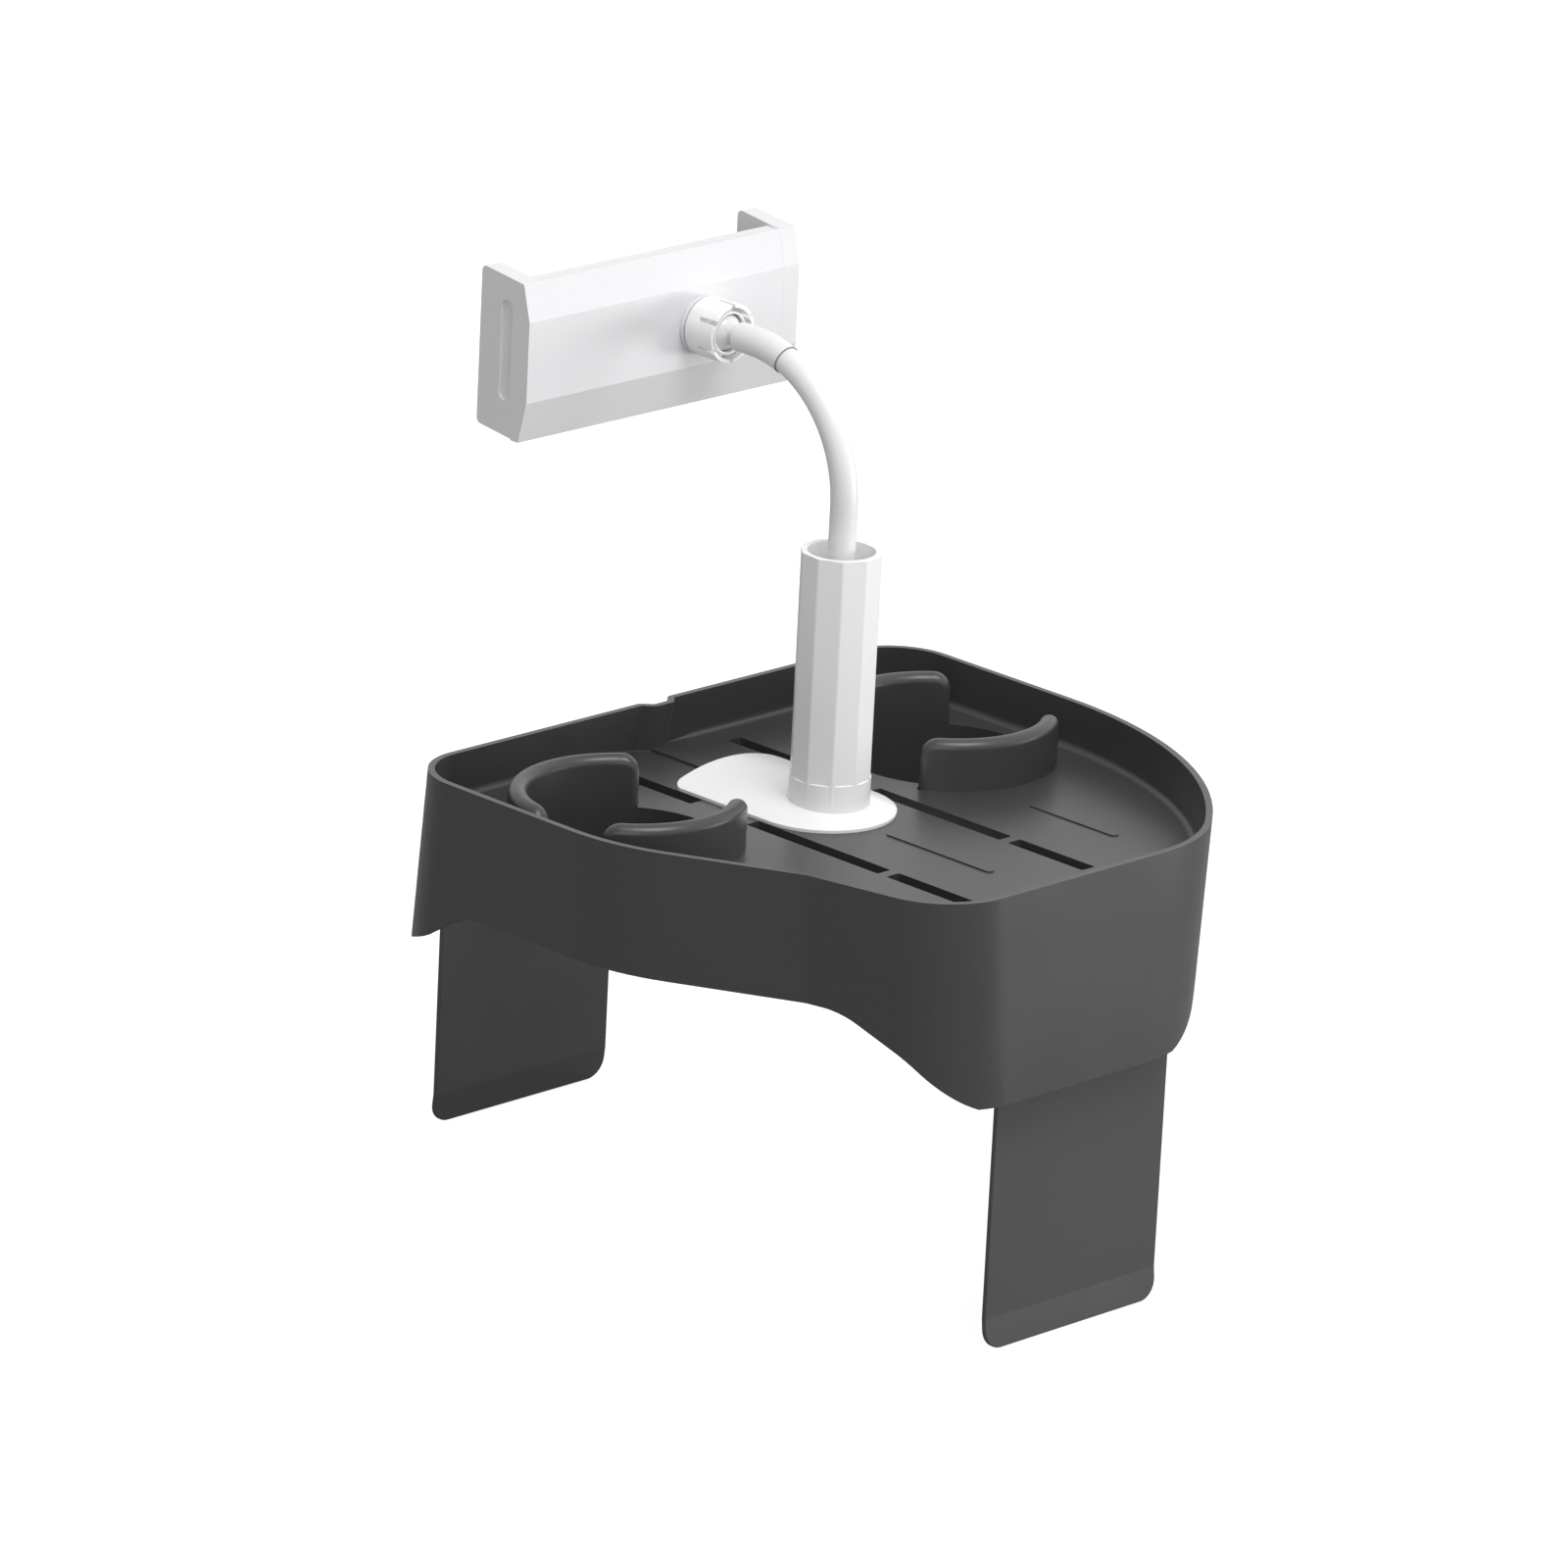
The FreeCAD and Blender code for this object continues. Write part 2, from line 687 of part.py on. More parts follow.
def runners(body):
    """Two ribs under the floor that the leg brackets slide against, with their screw holes."""
    ribs = new_sketch(body, "runner_outlines", "XY_Plane", "0 - floor_wall / 2")
    low = "-runner_setback - runner_length"
    box_outline(ribs, RUNNER_INSIDE, low, RUNNER_OUTSIDE, "-runner_setback")
    box_outline(ribs, "-" + RUNNER_OUTSIDE, low, "-" + RUNNER_INSIDE, "-runner_setback")
    pad(body, ribs, "runner_ribs", "runner_drop - floor_wall / 2", reverse=True)
    holes = new_sketch(body, "runner_hole_outlines", "XY_Plane", "0 - runner_drop")
    for across, back in rail_screw_places():
        circle(holes, across, back, "rail_screw_size + 2 * screw_clearance")
    pocket(body, holes, "runner_holes",
           "rail_screw_bite + runner_drop + screw_tip_room - " + RAIL_UNDERSIDE, reverse=True)
    holes = new_sketch(body, "base_hole_outlines", "XY_Plane")
    for across, back in base_screw_places():
        circle(holes, across, back, "base_screw_size + 2 * screw_clearance")
    pocket(body, holes, "base_screw_holes", "floor_wall")


def build_tray():
    body = new_body("tray_body")
    tray_shell(body)
    skirt_cuts(body)
    cup_wells(body)
    cup_rings(body)
    floor_slots(body)
    runners(body)
    return body


def build_rail(label, side):
    """An angle strip screwed under a runner; the bracket's arm slides on its lip."""
    body = new_body(label)
    section = new_sketch(body, "rail_section", "XZ_Plane", "runner_setback")
    outer = side + RUNNER_OUTSIDE
    lip = side + "(" + RUNNER_OUTSIDE + " - rail_lip)"
    spacer = side + "(" + ARM_EDGE + " + slide_clearance)"
    top = "0 - runner_drop"
    step = "0 - runner_drop - " + RAIL_GAP
    foot = "0 - " + RAIL_UNDERSIDE
    outline(section, [(outer, top, 0), (outer, foot, 0), (lip, foot, 0),
                      (lip, step, 0), (spacer, step, 0), (spacer, top, 0)])
    pad(body, section, "rail_strip", "runner_length")
    holes = new_sketch(body, "rail_hole_outlines", "XY_Plane", foot)
    for across, back in rail_screw_places():
        if across.startswith("-") == (side == "-"):
            circle(holes, across, back, "rail_screw_size + 2 * screw_clearance")
    pocket(body, holes, "rail_holes", "leg_wall + slide_clearance + rail_lip_wall", reverse=True)
    return body


def cylinder(name, diameter, height, across, back, low):
    """An upright cylinder of the drawing, for screws."""
    solid = doc.addObject("Part::Cylinder", name)
    solid.setExpression("Radius", cell(diameter + " / 2"))
    solid.setExpression("Height", cell(height))
    solid.setExpression("Placement.Base.x", cell(across))
    solid.setExpression("Placement.Base.y", cell(back))
    solid.setExpression("Placement.Base.z", cell(low))
    return solid


def build_screws(label, places, size, length, underside):
    """Pan-head screws driven from below; their heads seat on an underside."""
    screws = []
    for index, (across, back) in enumerate(places):
        head_height = size + "_head_height"
        head = cylinder("%s_head_%d" % (label, index), size + "_head", head_height,
                        across, back, "0 - " + underside + " - " + head_height)
        shank = cylinder("%s_shank_%d" % (label, index), size + "_size",
                         length + " + " + head_height, across, back,
                         "0 - " + underside + " - " + head_height)
        screw = doc.addObject("Part::Fuse", "%s_%d" % (label, index))
        screw.Base = head
        screw.Tool = shank
        screws.append(screw)
    group = doc.addObject("Part::Compound", label)
    group.Label = label
    group.Links = screws
    place(group)
    doc.recompute()
    return group


def build_leg(label, face, out, arm_length):
    """A bent plate: a flat arm under the tray, a wide leg and a toe kicked outward."""
    body = new_body(label)
    inward = "-" if out == "+" else "+"
    arm_end = face + " " + inward + " " + arm_length
    back = face + " " + out + " leg_wall"
    kick = " " + out + " toe_kick"
    knee = "toe_height - floor_height"
    profile = new_sketch(body, "leg_profile", "YZ_Plane")
    outline(profile, [
        (arm_end, "0 - runner_drop", 0),
        (back, "0 - runner_drop", "leg_bend"),
        (back, knee, "leg_bend"),
        (back + kick, "0 - floor_height", 0),
        (face + kick, "0 - floor_height", 0),
        (face, knee, "leg_bend"),
        (face, "0 - runner_drop - leg_wall", "leg_bend - leg_wall"),
        (arm_end, "0 - runner_drop - leg_wall", 0),
    ])
    pad(body, profile, "leg_plate", "leg_width", middle=True)
    flanks = new_sketch(body, "arm_flanks", "XY_Plane", "cut_room - runner_drop")
    waist = new_sketch(body, "waist_flanks", "XY_Plane", "cut_room - runner_drop")
    past_back = back + " " + out + " cut_room"
    for side in ("-", ""):
        box_outline(flanks, side + ARM_EDGE, arm_end + " " + inward + " cut_room",
                    side + "(leg_width / 2 + cut_room)", past_back)
        box_outline(waist, side + "(leg_width / 2 - waist_shoulder)",
                    face + " " + inward + " waist_clearance",
                    side + "(leg_width / 2 + cut_room)", past_back)
    pocket(body, flanks, "arm_sides", "shoulder_drop - runner_drop + cut_room")
    pocket(body, waist, "waist_sides", "shoulder_drop - runner_drop + cut_room")
    corners = new_sketch(body, "toe_corner_outlines", "XZ_Plane", "0 - (" + face + ")")
    for side, bulge in (("", "-leg_corner"), ("-", "leg_corner")):
        chain(corners, [
            (side + "leg_width / 2", "leg_corner - floor_height", bulge),
            (side + "(leg_width / 2 - leg_corner)", "0 - floor_height", 0),
            (side + "(leg_width / 2 - leg_corner)", "0 - floor_height - cut_room", 0),
            (side + "(leg_width / 2 + cut_room)", "0 - floor_height - cut_room", 0),
            (side + "(leg_width / 2 + cut_room)", "leg_corner - floor_height", 0),
        ])
    pocket(body, corners, "toe_corners", "4 * (leg_wall + toe_kick)", middle=True)
    return body


CROWN_RISE = "(base_crown - base_edge)"
CROWN_RADIUS = "((" + BASE_HALF + " ^ 2 + " + CROWN_RISE + " ^ 2) / (2 * " + CROWN_RISE + "))"


def build_post_base():
    """The crowned foot of the post: a round end and a straight tail, thin at the edges."""
    body = new_body("post_base", "base_setback")
    dome = new_sketch(body, "dome_profile", "XZ_Plane")
    chain(dome, [("0", "0", 0), (BASE_HALF, "0", 0), (BASE_HALF, "base_edge", CROWN_RADIUS),
                 ("0", "base_crown", 0)])
    turn = body.newObject("PartDesign::Revolution", "dome")
    turn.Profile = dome
    turn.ReferenceAxis = (dome, ["V_Axis"])
    turn.Angle = 360
    body.Tip = turn
    doc.recompute()
    tail = new_sketch(body, "tail_section", "XZ_Plane")
    chain(tail, [("-" + BASE_HALF, "0", 0), (BASE_HALF, "0", 0),
                 (BASE_HALF, "base_edge", CROWN_RADIUS), ("-" + BASE_HALF, "base_edge", 0)])
    pad(body, tail, "tail", "base_length", reverse=True)
    corners = new_sketch(body, "corner_outlines", "XY_Plane")
    for side, bulge in (("", "base_corner"), ("-", "-base_corner")):
        chain(corners, [
            (side + BASE_HALF, "base_length - base_corner", bulge),
            (side + "(" + BASE_HALF + " - base_corner)", "base_length", 0),
            (side + "(" + BASE_HALF + " - base_corner)", "base_length + cut_room", 0),
            (side + "(" + BASE_HALF + " + cut_room)", "base_length + cut_room", 0),
            (side + "(" + BASE_HALF + " + cut_room)", "base_length - base_corner", 0),
        ])
    pocket(body, corners, "tail_corners", "base_crown + cut_room", reverse=True)
    seat = new_sketch(body, "seat_outline", "XY_Plane", "base_crown + cut_room")
    circle(seat, "0", "base_setback - post_setback", "post_size + 2 * post_fit")
    pocket(body, seat, "post_seat", "base_crown + cut_room - post_seat")
    holes = new_sketch(body, "screw_hole_outlines", "XY_Plane")
    for across, back in base_screw_places():
        circle(holes, across, back + " + base_setback", "base_screw_size + 2 * screw_clearance")
    pocket(body, holes, "screw_holes", "base_screw_bite + screw_tip_room", reverse=True)
    return body


def build_post_tube():
    """A hollow post with ten long flats above a plain round collar."""
    body = new_body("post_tube", "post_setback")
    ring = new_sketch(body, "post_outline", "XY_Plane", "post_seat")
    circle(ring, "0", "0", "post_size")
    circle(ring, "0", "0", "post_size - 2 * post_wall")
    pad(body, ring, "post_wall", "post_top - post_seat")
    flat = new_sketch(body, "flat_outline", "XY_Plane", "post_top")
    flat.AttachmentOffset = FreeCAD.Placement(
        Vector(0, 0, 0), FreeCAD.Rotation(Vector(0, 0, 1), number("post_flat_turn")))
    flat.setExpression("AttachmentOffset.Rotation.Angle", cell("post_flat_turn"))
    box_outline(flat, "post_size / 2 - post_flat", "-post_size / 2", "post_size / 2 + cut_room",
                "post_size / 2")
    cut = pocket(body, flat, "flat", "post_top - post_collar")
    ring_pattern(body, "ten_flats", cut, "Z_Axis", POST_FLATS)
    return body


def build_plug():
    """The plug that holds the neck inside the top of the post."""
    body = new_body("neck_plug", "post_setback")
    ring = new_sketch(body, "plug_outline", "XY_Plane", PLUG_LOW)
    circle(ring, "0", "0", "post_size - 2 * post_wall - 2 * post_fit")
    circle(ring, "0", "0", "neck_size + 2 * neck_fit")
    pad(body, ring, "plug", "plug_length")
    return body


def build_ferrule():
    body = new_body("neck_ferrule", "post_setback")
    ring = new_sketch(body, "ferrule_outline", "XY_Plane", "post_top - plug_recess")
    circle(ring, "0", "0", "ferrule_size")
    circle(ring, "0", "0", "neck_size + 2 * neck_fit")
    pad(body, ring, "ferrule", "ferrule_height")
    return body


def sweep(body, name, profile, spine):
    """Carry a round section along a path of straight runs and arcs."""
    feature = body.newObject("PartDesign::AdditivePipe", name)
    feature.Profile = profile
    feature.Spine = (spine, [])
    body.Tip = feature
    doc.recompute()
    return feature


def bend_point(angle):
    """A point of the neck's bend, measured from the post's axis and the tray's floor."""
    across = "neck_bend * (1 - cos(%s * 1 deg))" % angle
    up = "neck_rise + neck_bend * sin(%s * 1 deg)" % angle
    return across, up


def draw_path(sketch, points):
    """An open path: each point is (x, y, radius), where a radius bends the stretch after it."""
    last = None
    for index in range(len(points) - 1):
        x, y, radius = points[index]
        next_x, next_y, _ = points[index + 1]
        item = stretch(sketch, (x, y), (next_x, next_y), radius)
        if last is None:
            pin_point(sketch, item[0], item[1], x, y)
        else:
            sketch.addConstraint(Sketcher.Constraint("Coincident", last[0], last[2],
                                                     item[0], item[1]))
        pin_point(sketch, item[0], item[2], next_x, next_y)
        last = item


def build_neck():
    """The bent neck: it rises from the plug and leans over in one quarter bend."""
    body = new_body("gooseneck_arm", "post_setback")
    path = new_sketch(body, "neck_path", "YZ_Plane")
    across, up = bend_point("sleeve_angle")
    draw_path(path, [("0", PLUG_LOW, 0), ("0", "neck_rise", "-neck_bend"), (across, up, 0)])
    section = new_sketch(body, "neck_section", "XY_Plane", PLUG_LOW)
    circle(section, "0", "0", "neck_size")
    sweep(body, "neck", section, path)
    return body


def build_sleeve():
    """The plain sleeve over the last part of the bend, up to the ball's stem."""
    body = new_body("neck_sleeve", "post_setback")
    path = new_sketch(body, "sleeve_path", "YZ_Plane")
    across, up = bend_point("sleeve_angle")
    draw_path(path, [("neck_bend + sleeve_end", NECK_TOP, 0), ("neck_bend", NECK_TOP, "neck_bend"),
                     (across, up, 0)])
    section = new_sketch(body, "sleeve_section", "XZ_Plane", "0 - neck_bend - sleeve_end")
    circle(section, "0", NECK_TOP, "sleeve_size")
    sweep(body, "sleeve", section, path)
    return body


def turned_body(label, nodes):
    """A turned piece about the ball's own axis; nodes are (along, radius, arc radius)."""
    body = new_body(label, BALL_SETBACK, NECK_TOP)
    profile = new_sketch(body, label + "_profile", "YZ_Plane")
    chain(profile, nodes)
    turn = body.newObject("PartDesign::Revolution", label + "_turned")
    turn.Profile = profile
    turn.ReferenceAxis = (profile, ["H_Axis"])
    turn.Angle = 360
    body.Tip = turn
    doc.recompute()
    return body


def build_ball():
    meet = "0 - sqrt((ball_size / 2) ^ 2 - (stem_size / 2) ^ 2)"
    return turned_body("ball_stud", [
        ("0 - ball_reach", "0", 0),
        ("0 - ball_reach", "stem_size / 2", 0),
        (meet, "stem_size / 2", "-ball_size / 2"),
        ("ball_size / 2", "0", 0),
    ])


def build_socket():
    """The cup behind the ball, on a flange that seats on the holder's back."""
    seat = "(ball_size / 2 + ball_clearance)"
    lip = "sqrt(" + seat + " ^ 2 - socket_lip ^ 2)"
    return turned_body("ball_socket", [
        ("socket_lip", lip, 0),
        ("socket_lip", "socket_size / 2", 0),
        ("holder_reach - socket_flange", "socket_size / 2", 0),
        ("holder_reach - socket_flange", "nut_size / 2", 0),
        ("holder_reach", "nut_size / 2", 0),
        ("holder_reach", "0", 0),
        (seat, "0", seat),
    ])


def build_nut():
    """The slotted nut that holds the ball in its cup: a thin shell round an inner ring."""
    bore = "(ball_size / 2 + ball_clearance)"
    grip = "sqrt(" + bore + " ^ 2 - nut_lip_reach ^ 2)"
    shell = "(nut_size / 2 - nut_shell)"
    ring = "(" + shell + " - nut_groove)"
    web = "(nut_groove_depth - nut_reach)"
    body = turned_body("locking_nut", [
        ("0 - nut_reach", shell, 0),
        ("0 - nut_reach", "nut_size / 2", 0),
        ("nut_length - nut_reach", "nut_size / 2", 0),
        ("nut_length - nut_reach", "socket_size / 2 + thread_fit", 0),
        ("socket_lip - ball_clearance", "socket_size / 2 + thread_fit", 0),
        ("socket_lip - ball_clearance", bore, 0),
        ("0 - nut_lip_reach / 3", bore, 0),
        ("0 - nut_lip_reach", grip, 0),
        ("nut_ring_setback - nut_reach", grip, 0),
        ("nut_ring_setback - nut_reach", ring, 0),
        (web, ring, 0),
        (web, shell, 0),
    ])
    gap = new_sketch(body, "slot_outline", "XY_Plane", "socket_size / 2")
    box_outline(gap, "-nut_slot / 2", "0 - nut_reach - cut_room", "nut_slot / 2",
                "nut_slot_length - nut_reach")
    cut = pocket(body, gap, "slot", "nut_size", reverse=True)
    ring_pattern(body, "six_slots", cut, "Y_Axis", NUT_SLOTS)
    return body


def holder_section(front, corner, lift="0"):
    """The holder seen from its end: a flat band at the back between two sloped bands.

    The jaws lift a little towards their front.
    """
    slope = "holder_reach + chamfer_depth"
    return [
        ("holder_reach", "0 - band_low", 0),
        ("holder_reach", "band_high", 0),
        (slope, "holder_rise", 0),
        (front, "holder_rise + " + lift, corner),
        (front, lift + " - holder_drop", corner),
        (slope, "0 - holder_drop", 0),
    ]


HOLDER_FRONT = "(holder_reach + holder_depth)"
COVER_BACK = "(holder_reach + holder_depth - cover_wall)"
JAW_FACE = "(holder_right - jaw_wall)"
BAND_MIDDLE = "((band_high - band_low) / 2)"


def rod_places():
    middle = "holder_reach + (holder_depth - cover_wall) / 2"
    return [(middle, BAND_MIDDLE + " - rod_spacing / 2"),
            (middle, BAND_MIDDLE + " + rod_spacing / 2")]


def build_housing():
    """The fixed half of the holder with its left jaw."""
    body = new_body("holder_housing", BALL_SETBACK, NECK_TOP)
    box = new_sketch(body, "housing_section", "YZ_Plane", "0 - holder_left")
    outline(box, holder_section(COVER_BACK, 0))
    pad(body, box, "housing", "holder_left + " + JAW_FACE)
    jaw = new_sketch(body, "left_jaw_section", "YZ_Plane", "0 - holder_left")
    outline(jaw, holder_section(HOLDER_FRONT + " + jaw_reach", "jaw_round", "jaw_lift"))
    pad(body, jaw, "left_jaw", "jaw_wall")
    recess = new_sketch(body, "end_slot_outline", "YZ_Plane", "0 - holder_left")
    near = "holder_reach + end_slot_setback"
    level = BAND_MIDDLE + " + end_slot_lift"
    box_outline(recess, near, level + " - end_slot_height / 2", near + " + end_slot_width",
                level + " + end_slot_height / 2", "end_slot_width" + ROUND_SHARE)
    pocket(body, recess, "end_slot", "end_slot_depth", reverse=True)
    bores = new_sketch(body, "rod_bore_outlines", "YZ_Plane", JAW_FACE)
    for along_y, up in rod_places():
        circle(bores, along_y, up, "rod_size + 2 * rod_fit")
    pocket(body, bores, "rod_bores", "rod_length - rod_socket + rod_end_room")
    return body


def build_cover():
    """The flat front that closes the housing between the jaws."""
    body = new_body("holder_cover", BALL_SETBACK, NECK_TOP)
    face = new_sketch(body, "cover_outline", "XZ_Plane", "0 - " + COVER_BACK)
    box_outline(face, "0 - holder_left + jaw_wall", "0 - holder_drop", JAW_FACE, "holder_rise")
    pad(body, face, "cover", "cover_wall", reverse=True)
    return body


def build_sliding_jaw():
    """The right end of the holder; it slides out on two rods."""
    body = new_body("sliding_jaw", BALL_SETBACK, NECK_TOP)
    jaw = new_sketch(body, "jaw_section", "YZ_Plane", JAW_FACE)
    outline(jaw, holder_section(HOLDER_FRONT + " + jaw_reach", "jaw_round", "jaw_lift"))
    pad(body, jaw, "jaw", "jaw_wall")
    sockets = new_sketch(body, "rod_socket_outlines", "YZ_Plane", JAW_FACE)
    for along_y, up in rod_places():
        circle(sockets, along_y, up, "rod_size + 2 * rod_fit")
    pocket(body, sockets, "rod_sockets", "rod_socket", reverse=True)
    return body


def build_rods():
    rods = []
    for index, (along_y, up) in enumerate(rod_places()):
        rod = doc.addObject("Part::Cylinder", "guide_rod_%d" % index)
        rod.setExpression("Radius", cell("rod_size / 2"))
        rod.setExpression("Height", cell("rod_length"))
        rod.Placement.Rotation = FreeCAD.Rotation(Vector(0, 1, 0), 90)
        rod.setExpression("Placement.Base.x", cell(JAW_FACE + " + rod_socket - rod_length"))
        rod.setExpression("Placement.Base.y", cell(along_y))
        rod.setExpression("Placement.Base.z", cell(up))
        rods.append(rod)
    group = doc.addObject("Part::Compound", "guide_rods")
    group.Label = "guide_rods"
    group.Links = rods
    place(group, BALL_SETBACK, NECK_TOP)
    doc.recompute()
    return group


def build_jaw_pad(label, face, reverse):
    """A soft pad on the inner face of a jaw."""
    body = new_body(label, BALL_SETBACK, NECK_TOP)
    sheet = new_sketch(body, "pad_outline", "YZ_Plane", face)
    near = HOLDER_FRONT + " + (jaw_reach - pad_width) / 2"
    box_outline(sheet, near, BAND_MIDDLE + " - pad_height / 2", near + " + pad_width",
                BAND_MIDDLE + " + pad_height / 2", "pad_round")
    pad(body, sheet, "pad", "pad_wall", reverse=reverse)
    return body


PIECES = [
    build_tray(),
    build_rail("left_rail", "-"),
    build_rail("right_rail", ""),
    build_screws("rail_screws", rail_screw_places(), "rail_screw", "rail_screw_bite",
                 RAIL_UNDERSIDE),
    build_leg("narrow_leg", "0 - narrow_leg_setback", "-", "narrow_arm_length"),
    build_leg("wide_leg", "wide_leg_reach", "+", "wide_arm_length"),
    build_post_base(),
    build_screws("base_screws", base_screw_places(), "base_screw",
                 "floor_wall + base_screw_bite", "floor_wall"),
    build_post_tube(),
    build_plug(),
    build_ferrule(),
    build_neck(),
    build_sleeve(),
    build_ball(),
    build_socket(),
    build_nut(),
    build_housing(),
    build_cover(),
    build_sliding_jaw(),
    build_rods(),
    build_jaw_pad("left_jaw_pad", "0 - holder_left + jaw_wall", False),
    build_jaw_pad("right_jaw_pad", JAW_FACE, True),
]
doc.recompute()

for item in doc.Objects:
    if "Invalid" in item.State or "Error" in item.State:
        raise RuntimeError(item.Label + " did not build")
for piece in PIECES:
    if piece.Shape.isNull() or not piece.Shape.isValid():
        raise RuntimeError(piece.Label + " has no valid shape")

os.makedirs("parts", exist_ok=True)
for piece in PIECES:
    piece.Shape.exportStep("parts/" + piece.Label + ".step")
    box = piece.Shape.BoundBox
    print("%-16s solids %d  x %.1f..%.1f  y %.1f..%.1f  z %.1f..%.1f" % (
        piece.Label, len(piece.Shape.Solids), box.XMin, box.XMax, box.YMin, box.YMax,
        box.ZMin, box.ZMax))
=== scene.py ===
"""Hot tub tray: a charcoal moulded tray with two open cup rings, a white post with a bent neck
and a phone holder, on two sliding plate legs. Every piece gets its finish here, around the
solid parts.
"""
import bmesh
import bpy
import json
import math
import numpy as np
from mathutils import Matrix, Vector

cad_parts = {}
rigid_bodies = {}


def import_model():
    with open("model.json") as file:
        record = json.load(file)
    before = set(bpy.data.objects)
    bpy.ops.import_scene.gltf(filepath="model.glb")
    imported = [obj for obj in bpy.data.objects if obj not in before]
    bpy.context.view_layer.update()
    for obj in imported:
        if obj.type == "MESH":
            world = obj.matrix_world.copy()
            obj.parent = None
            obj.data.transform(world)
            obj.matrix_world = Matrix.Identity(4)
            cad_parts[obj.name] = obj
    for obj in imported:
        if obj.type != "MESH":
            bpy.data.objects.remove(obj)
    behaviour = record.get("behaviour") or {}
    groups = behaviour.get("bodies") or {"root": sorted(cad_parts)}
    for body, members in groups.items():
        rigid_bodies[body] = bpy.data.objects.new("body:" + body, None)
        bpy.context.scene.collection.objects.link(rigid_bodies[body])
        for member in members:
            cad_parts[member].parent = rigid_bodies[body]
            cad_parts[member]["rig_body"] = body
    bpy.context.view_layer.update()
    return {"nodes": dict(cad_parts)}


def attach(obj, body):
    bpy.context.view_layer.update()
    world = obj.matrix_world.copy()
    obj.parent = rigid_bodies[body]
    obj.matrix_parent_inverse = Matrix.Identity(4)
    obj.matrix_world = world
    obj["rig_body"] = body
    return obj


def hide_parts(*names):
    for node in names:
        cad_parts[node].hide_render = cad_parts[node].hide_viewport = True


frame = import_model()

# The room and the light: a white floor and backdrop, a broad soft key lamp high in front of the
# narrow end, a low strip lamp to its far side, a weak fill from the near side, and a surround
# that is paler on the far narrow side than on the near wide side.
PALE_SIDE = Vector((0.85, -0.15, 0.35)).normalized()
SURROUND_DIM = 0.28
SURROUND_PALE = 1.05


def linear(code):
    """Turn an sRGB colour written in hex into the linear colour that a shader takes."""
    parts = [int(code[i:i + 2], 16) / 255 for i in (1, 3, 5)]
    return [c / 12.92 if c <= 0.04045 else ((c + 0.055) / 1.055) ** 2.4 for c in parts] + [1.0]


def node(tree, kind, settings=None, **links):
    """Add a node: settings fill its sockets or properties, links join its sockets."""
    made = tree.nodes.new(kind)
    for key, value in (settings or {}).items():
        if key in made.inputs:
            made.inputs[key].default_value = value
        else:
            setattr(made, key, value)
    for key, source in links.items():
        name = key.replace("_", " ")
        tree.links.new(source, made.inputs[name])
    return made


scene = bpy.context.scene
scene.view_settings.view_transform = "Standard"
world = bpy.data.worlds.new("studio")
scene.world = world
world.use_nodes = True
tree = world.node_tree
tree.nodes.clear()
rays = node(tree, "ShaderNodeLightPath")
way = node(tree, "ShaderNodeTexCoord")
facing = node(tree, "ShaderNodeVectorMath", {"operation": "DOT_PRODUCT"})
tree.links.new(way.outputs["Generated"], facing.inputs[0])
facing.inputs[1].default_value = PALE_SIDE
level = node(tree, "ShaderNodeMapRange",
             {"From Min": -1.0, "From Max": 1.0, "To Min": SURROUND_DIM, "To Max": SURROUND_PALE},
             Value=facing.outputs["Value"])
seen = node(tree, "ShaderNodeMath", {"operation": "MAXIMUM"})
tree.links.new(level.outputs["Result"], seen.inputs[0])
tree.links.new(rays.outputs["Is Camera Ray"], seen.inputs[1])
shade = node(tree, "ShaderNodeBackground", {"Color": (1, 1, 1, 1)}, Strength=seen.outputs[0])
node(tree, "ShaderNodeOutputWorld", None, Surface=shade.outputs["Background"])


def add_lamp(name, spot, aim, width, height, watts):
    """A softbox at a spot, turned to an aim."""
    lamp = bpy.data.lights.new(name, "AREA")
    lamp.shape = "RECTANGLE"
    lamp.size = width
    lamp.size_y = height
    lamp.energy = watts
    holder = bpy.data.objects.new(name, lamp)
    holder.location = spot
    holder.rotation_euler = (Vector(aim) - Vector(spot)).to_track_quat("-Z", "Y").to_euler()
    scene.collection.objects.link(holder)


MIDDLE = Vector((0.0, 0.0, 0.22))
LOW_MIDDLE = Vector((0.0, 0.0, 0.15))
LAMP_DISTANCE = 2.5
KEY_WAY = Vector((-0.08, -0.47, 0.87))
FILL_WAY = Vector((-0.72, -0.62, 0.3))
STRIP_SPOT = Vector((1.42, -1.27, 0.18))
BOX_SIDE = 1.2
STRIP_WIDTH = 1.0
STRIP_HEIGHT = 0.34
KEY_WATTS = 29.0
STRIP_WATTS = 11.0
FILL_WATTS = 8.5
add_lamp("key_softbox", MIDDLE + LAMP_DISTANCE * KEY_WAY, MIDDLE, BOX_SIDE, BOX_SIDE, KEY_WATTS)
add_lamp("side_strip", STRIP_SPOT, LOW_MIDDLE, STRIP_WIDTH, STRIP_HEIGHT, STRIP_WATTS)
add_lamp("fill_softbox", MIDDLE + LAMP_DISTANCE * FILL_WAY, MIDDLE, BOX_SIDE, BOX_SIDE,
         FILL_WATTS)

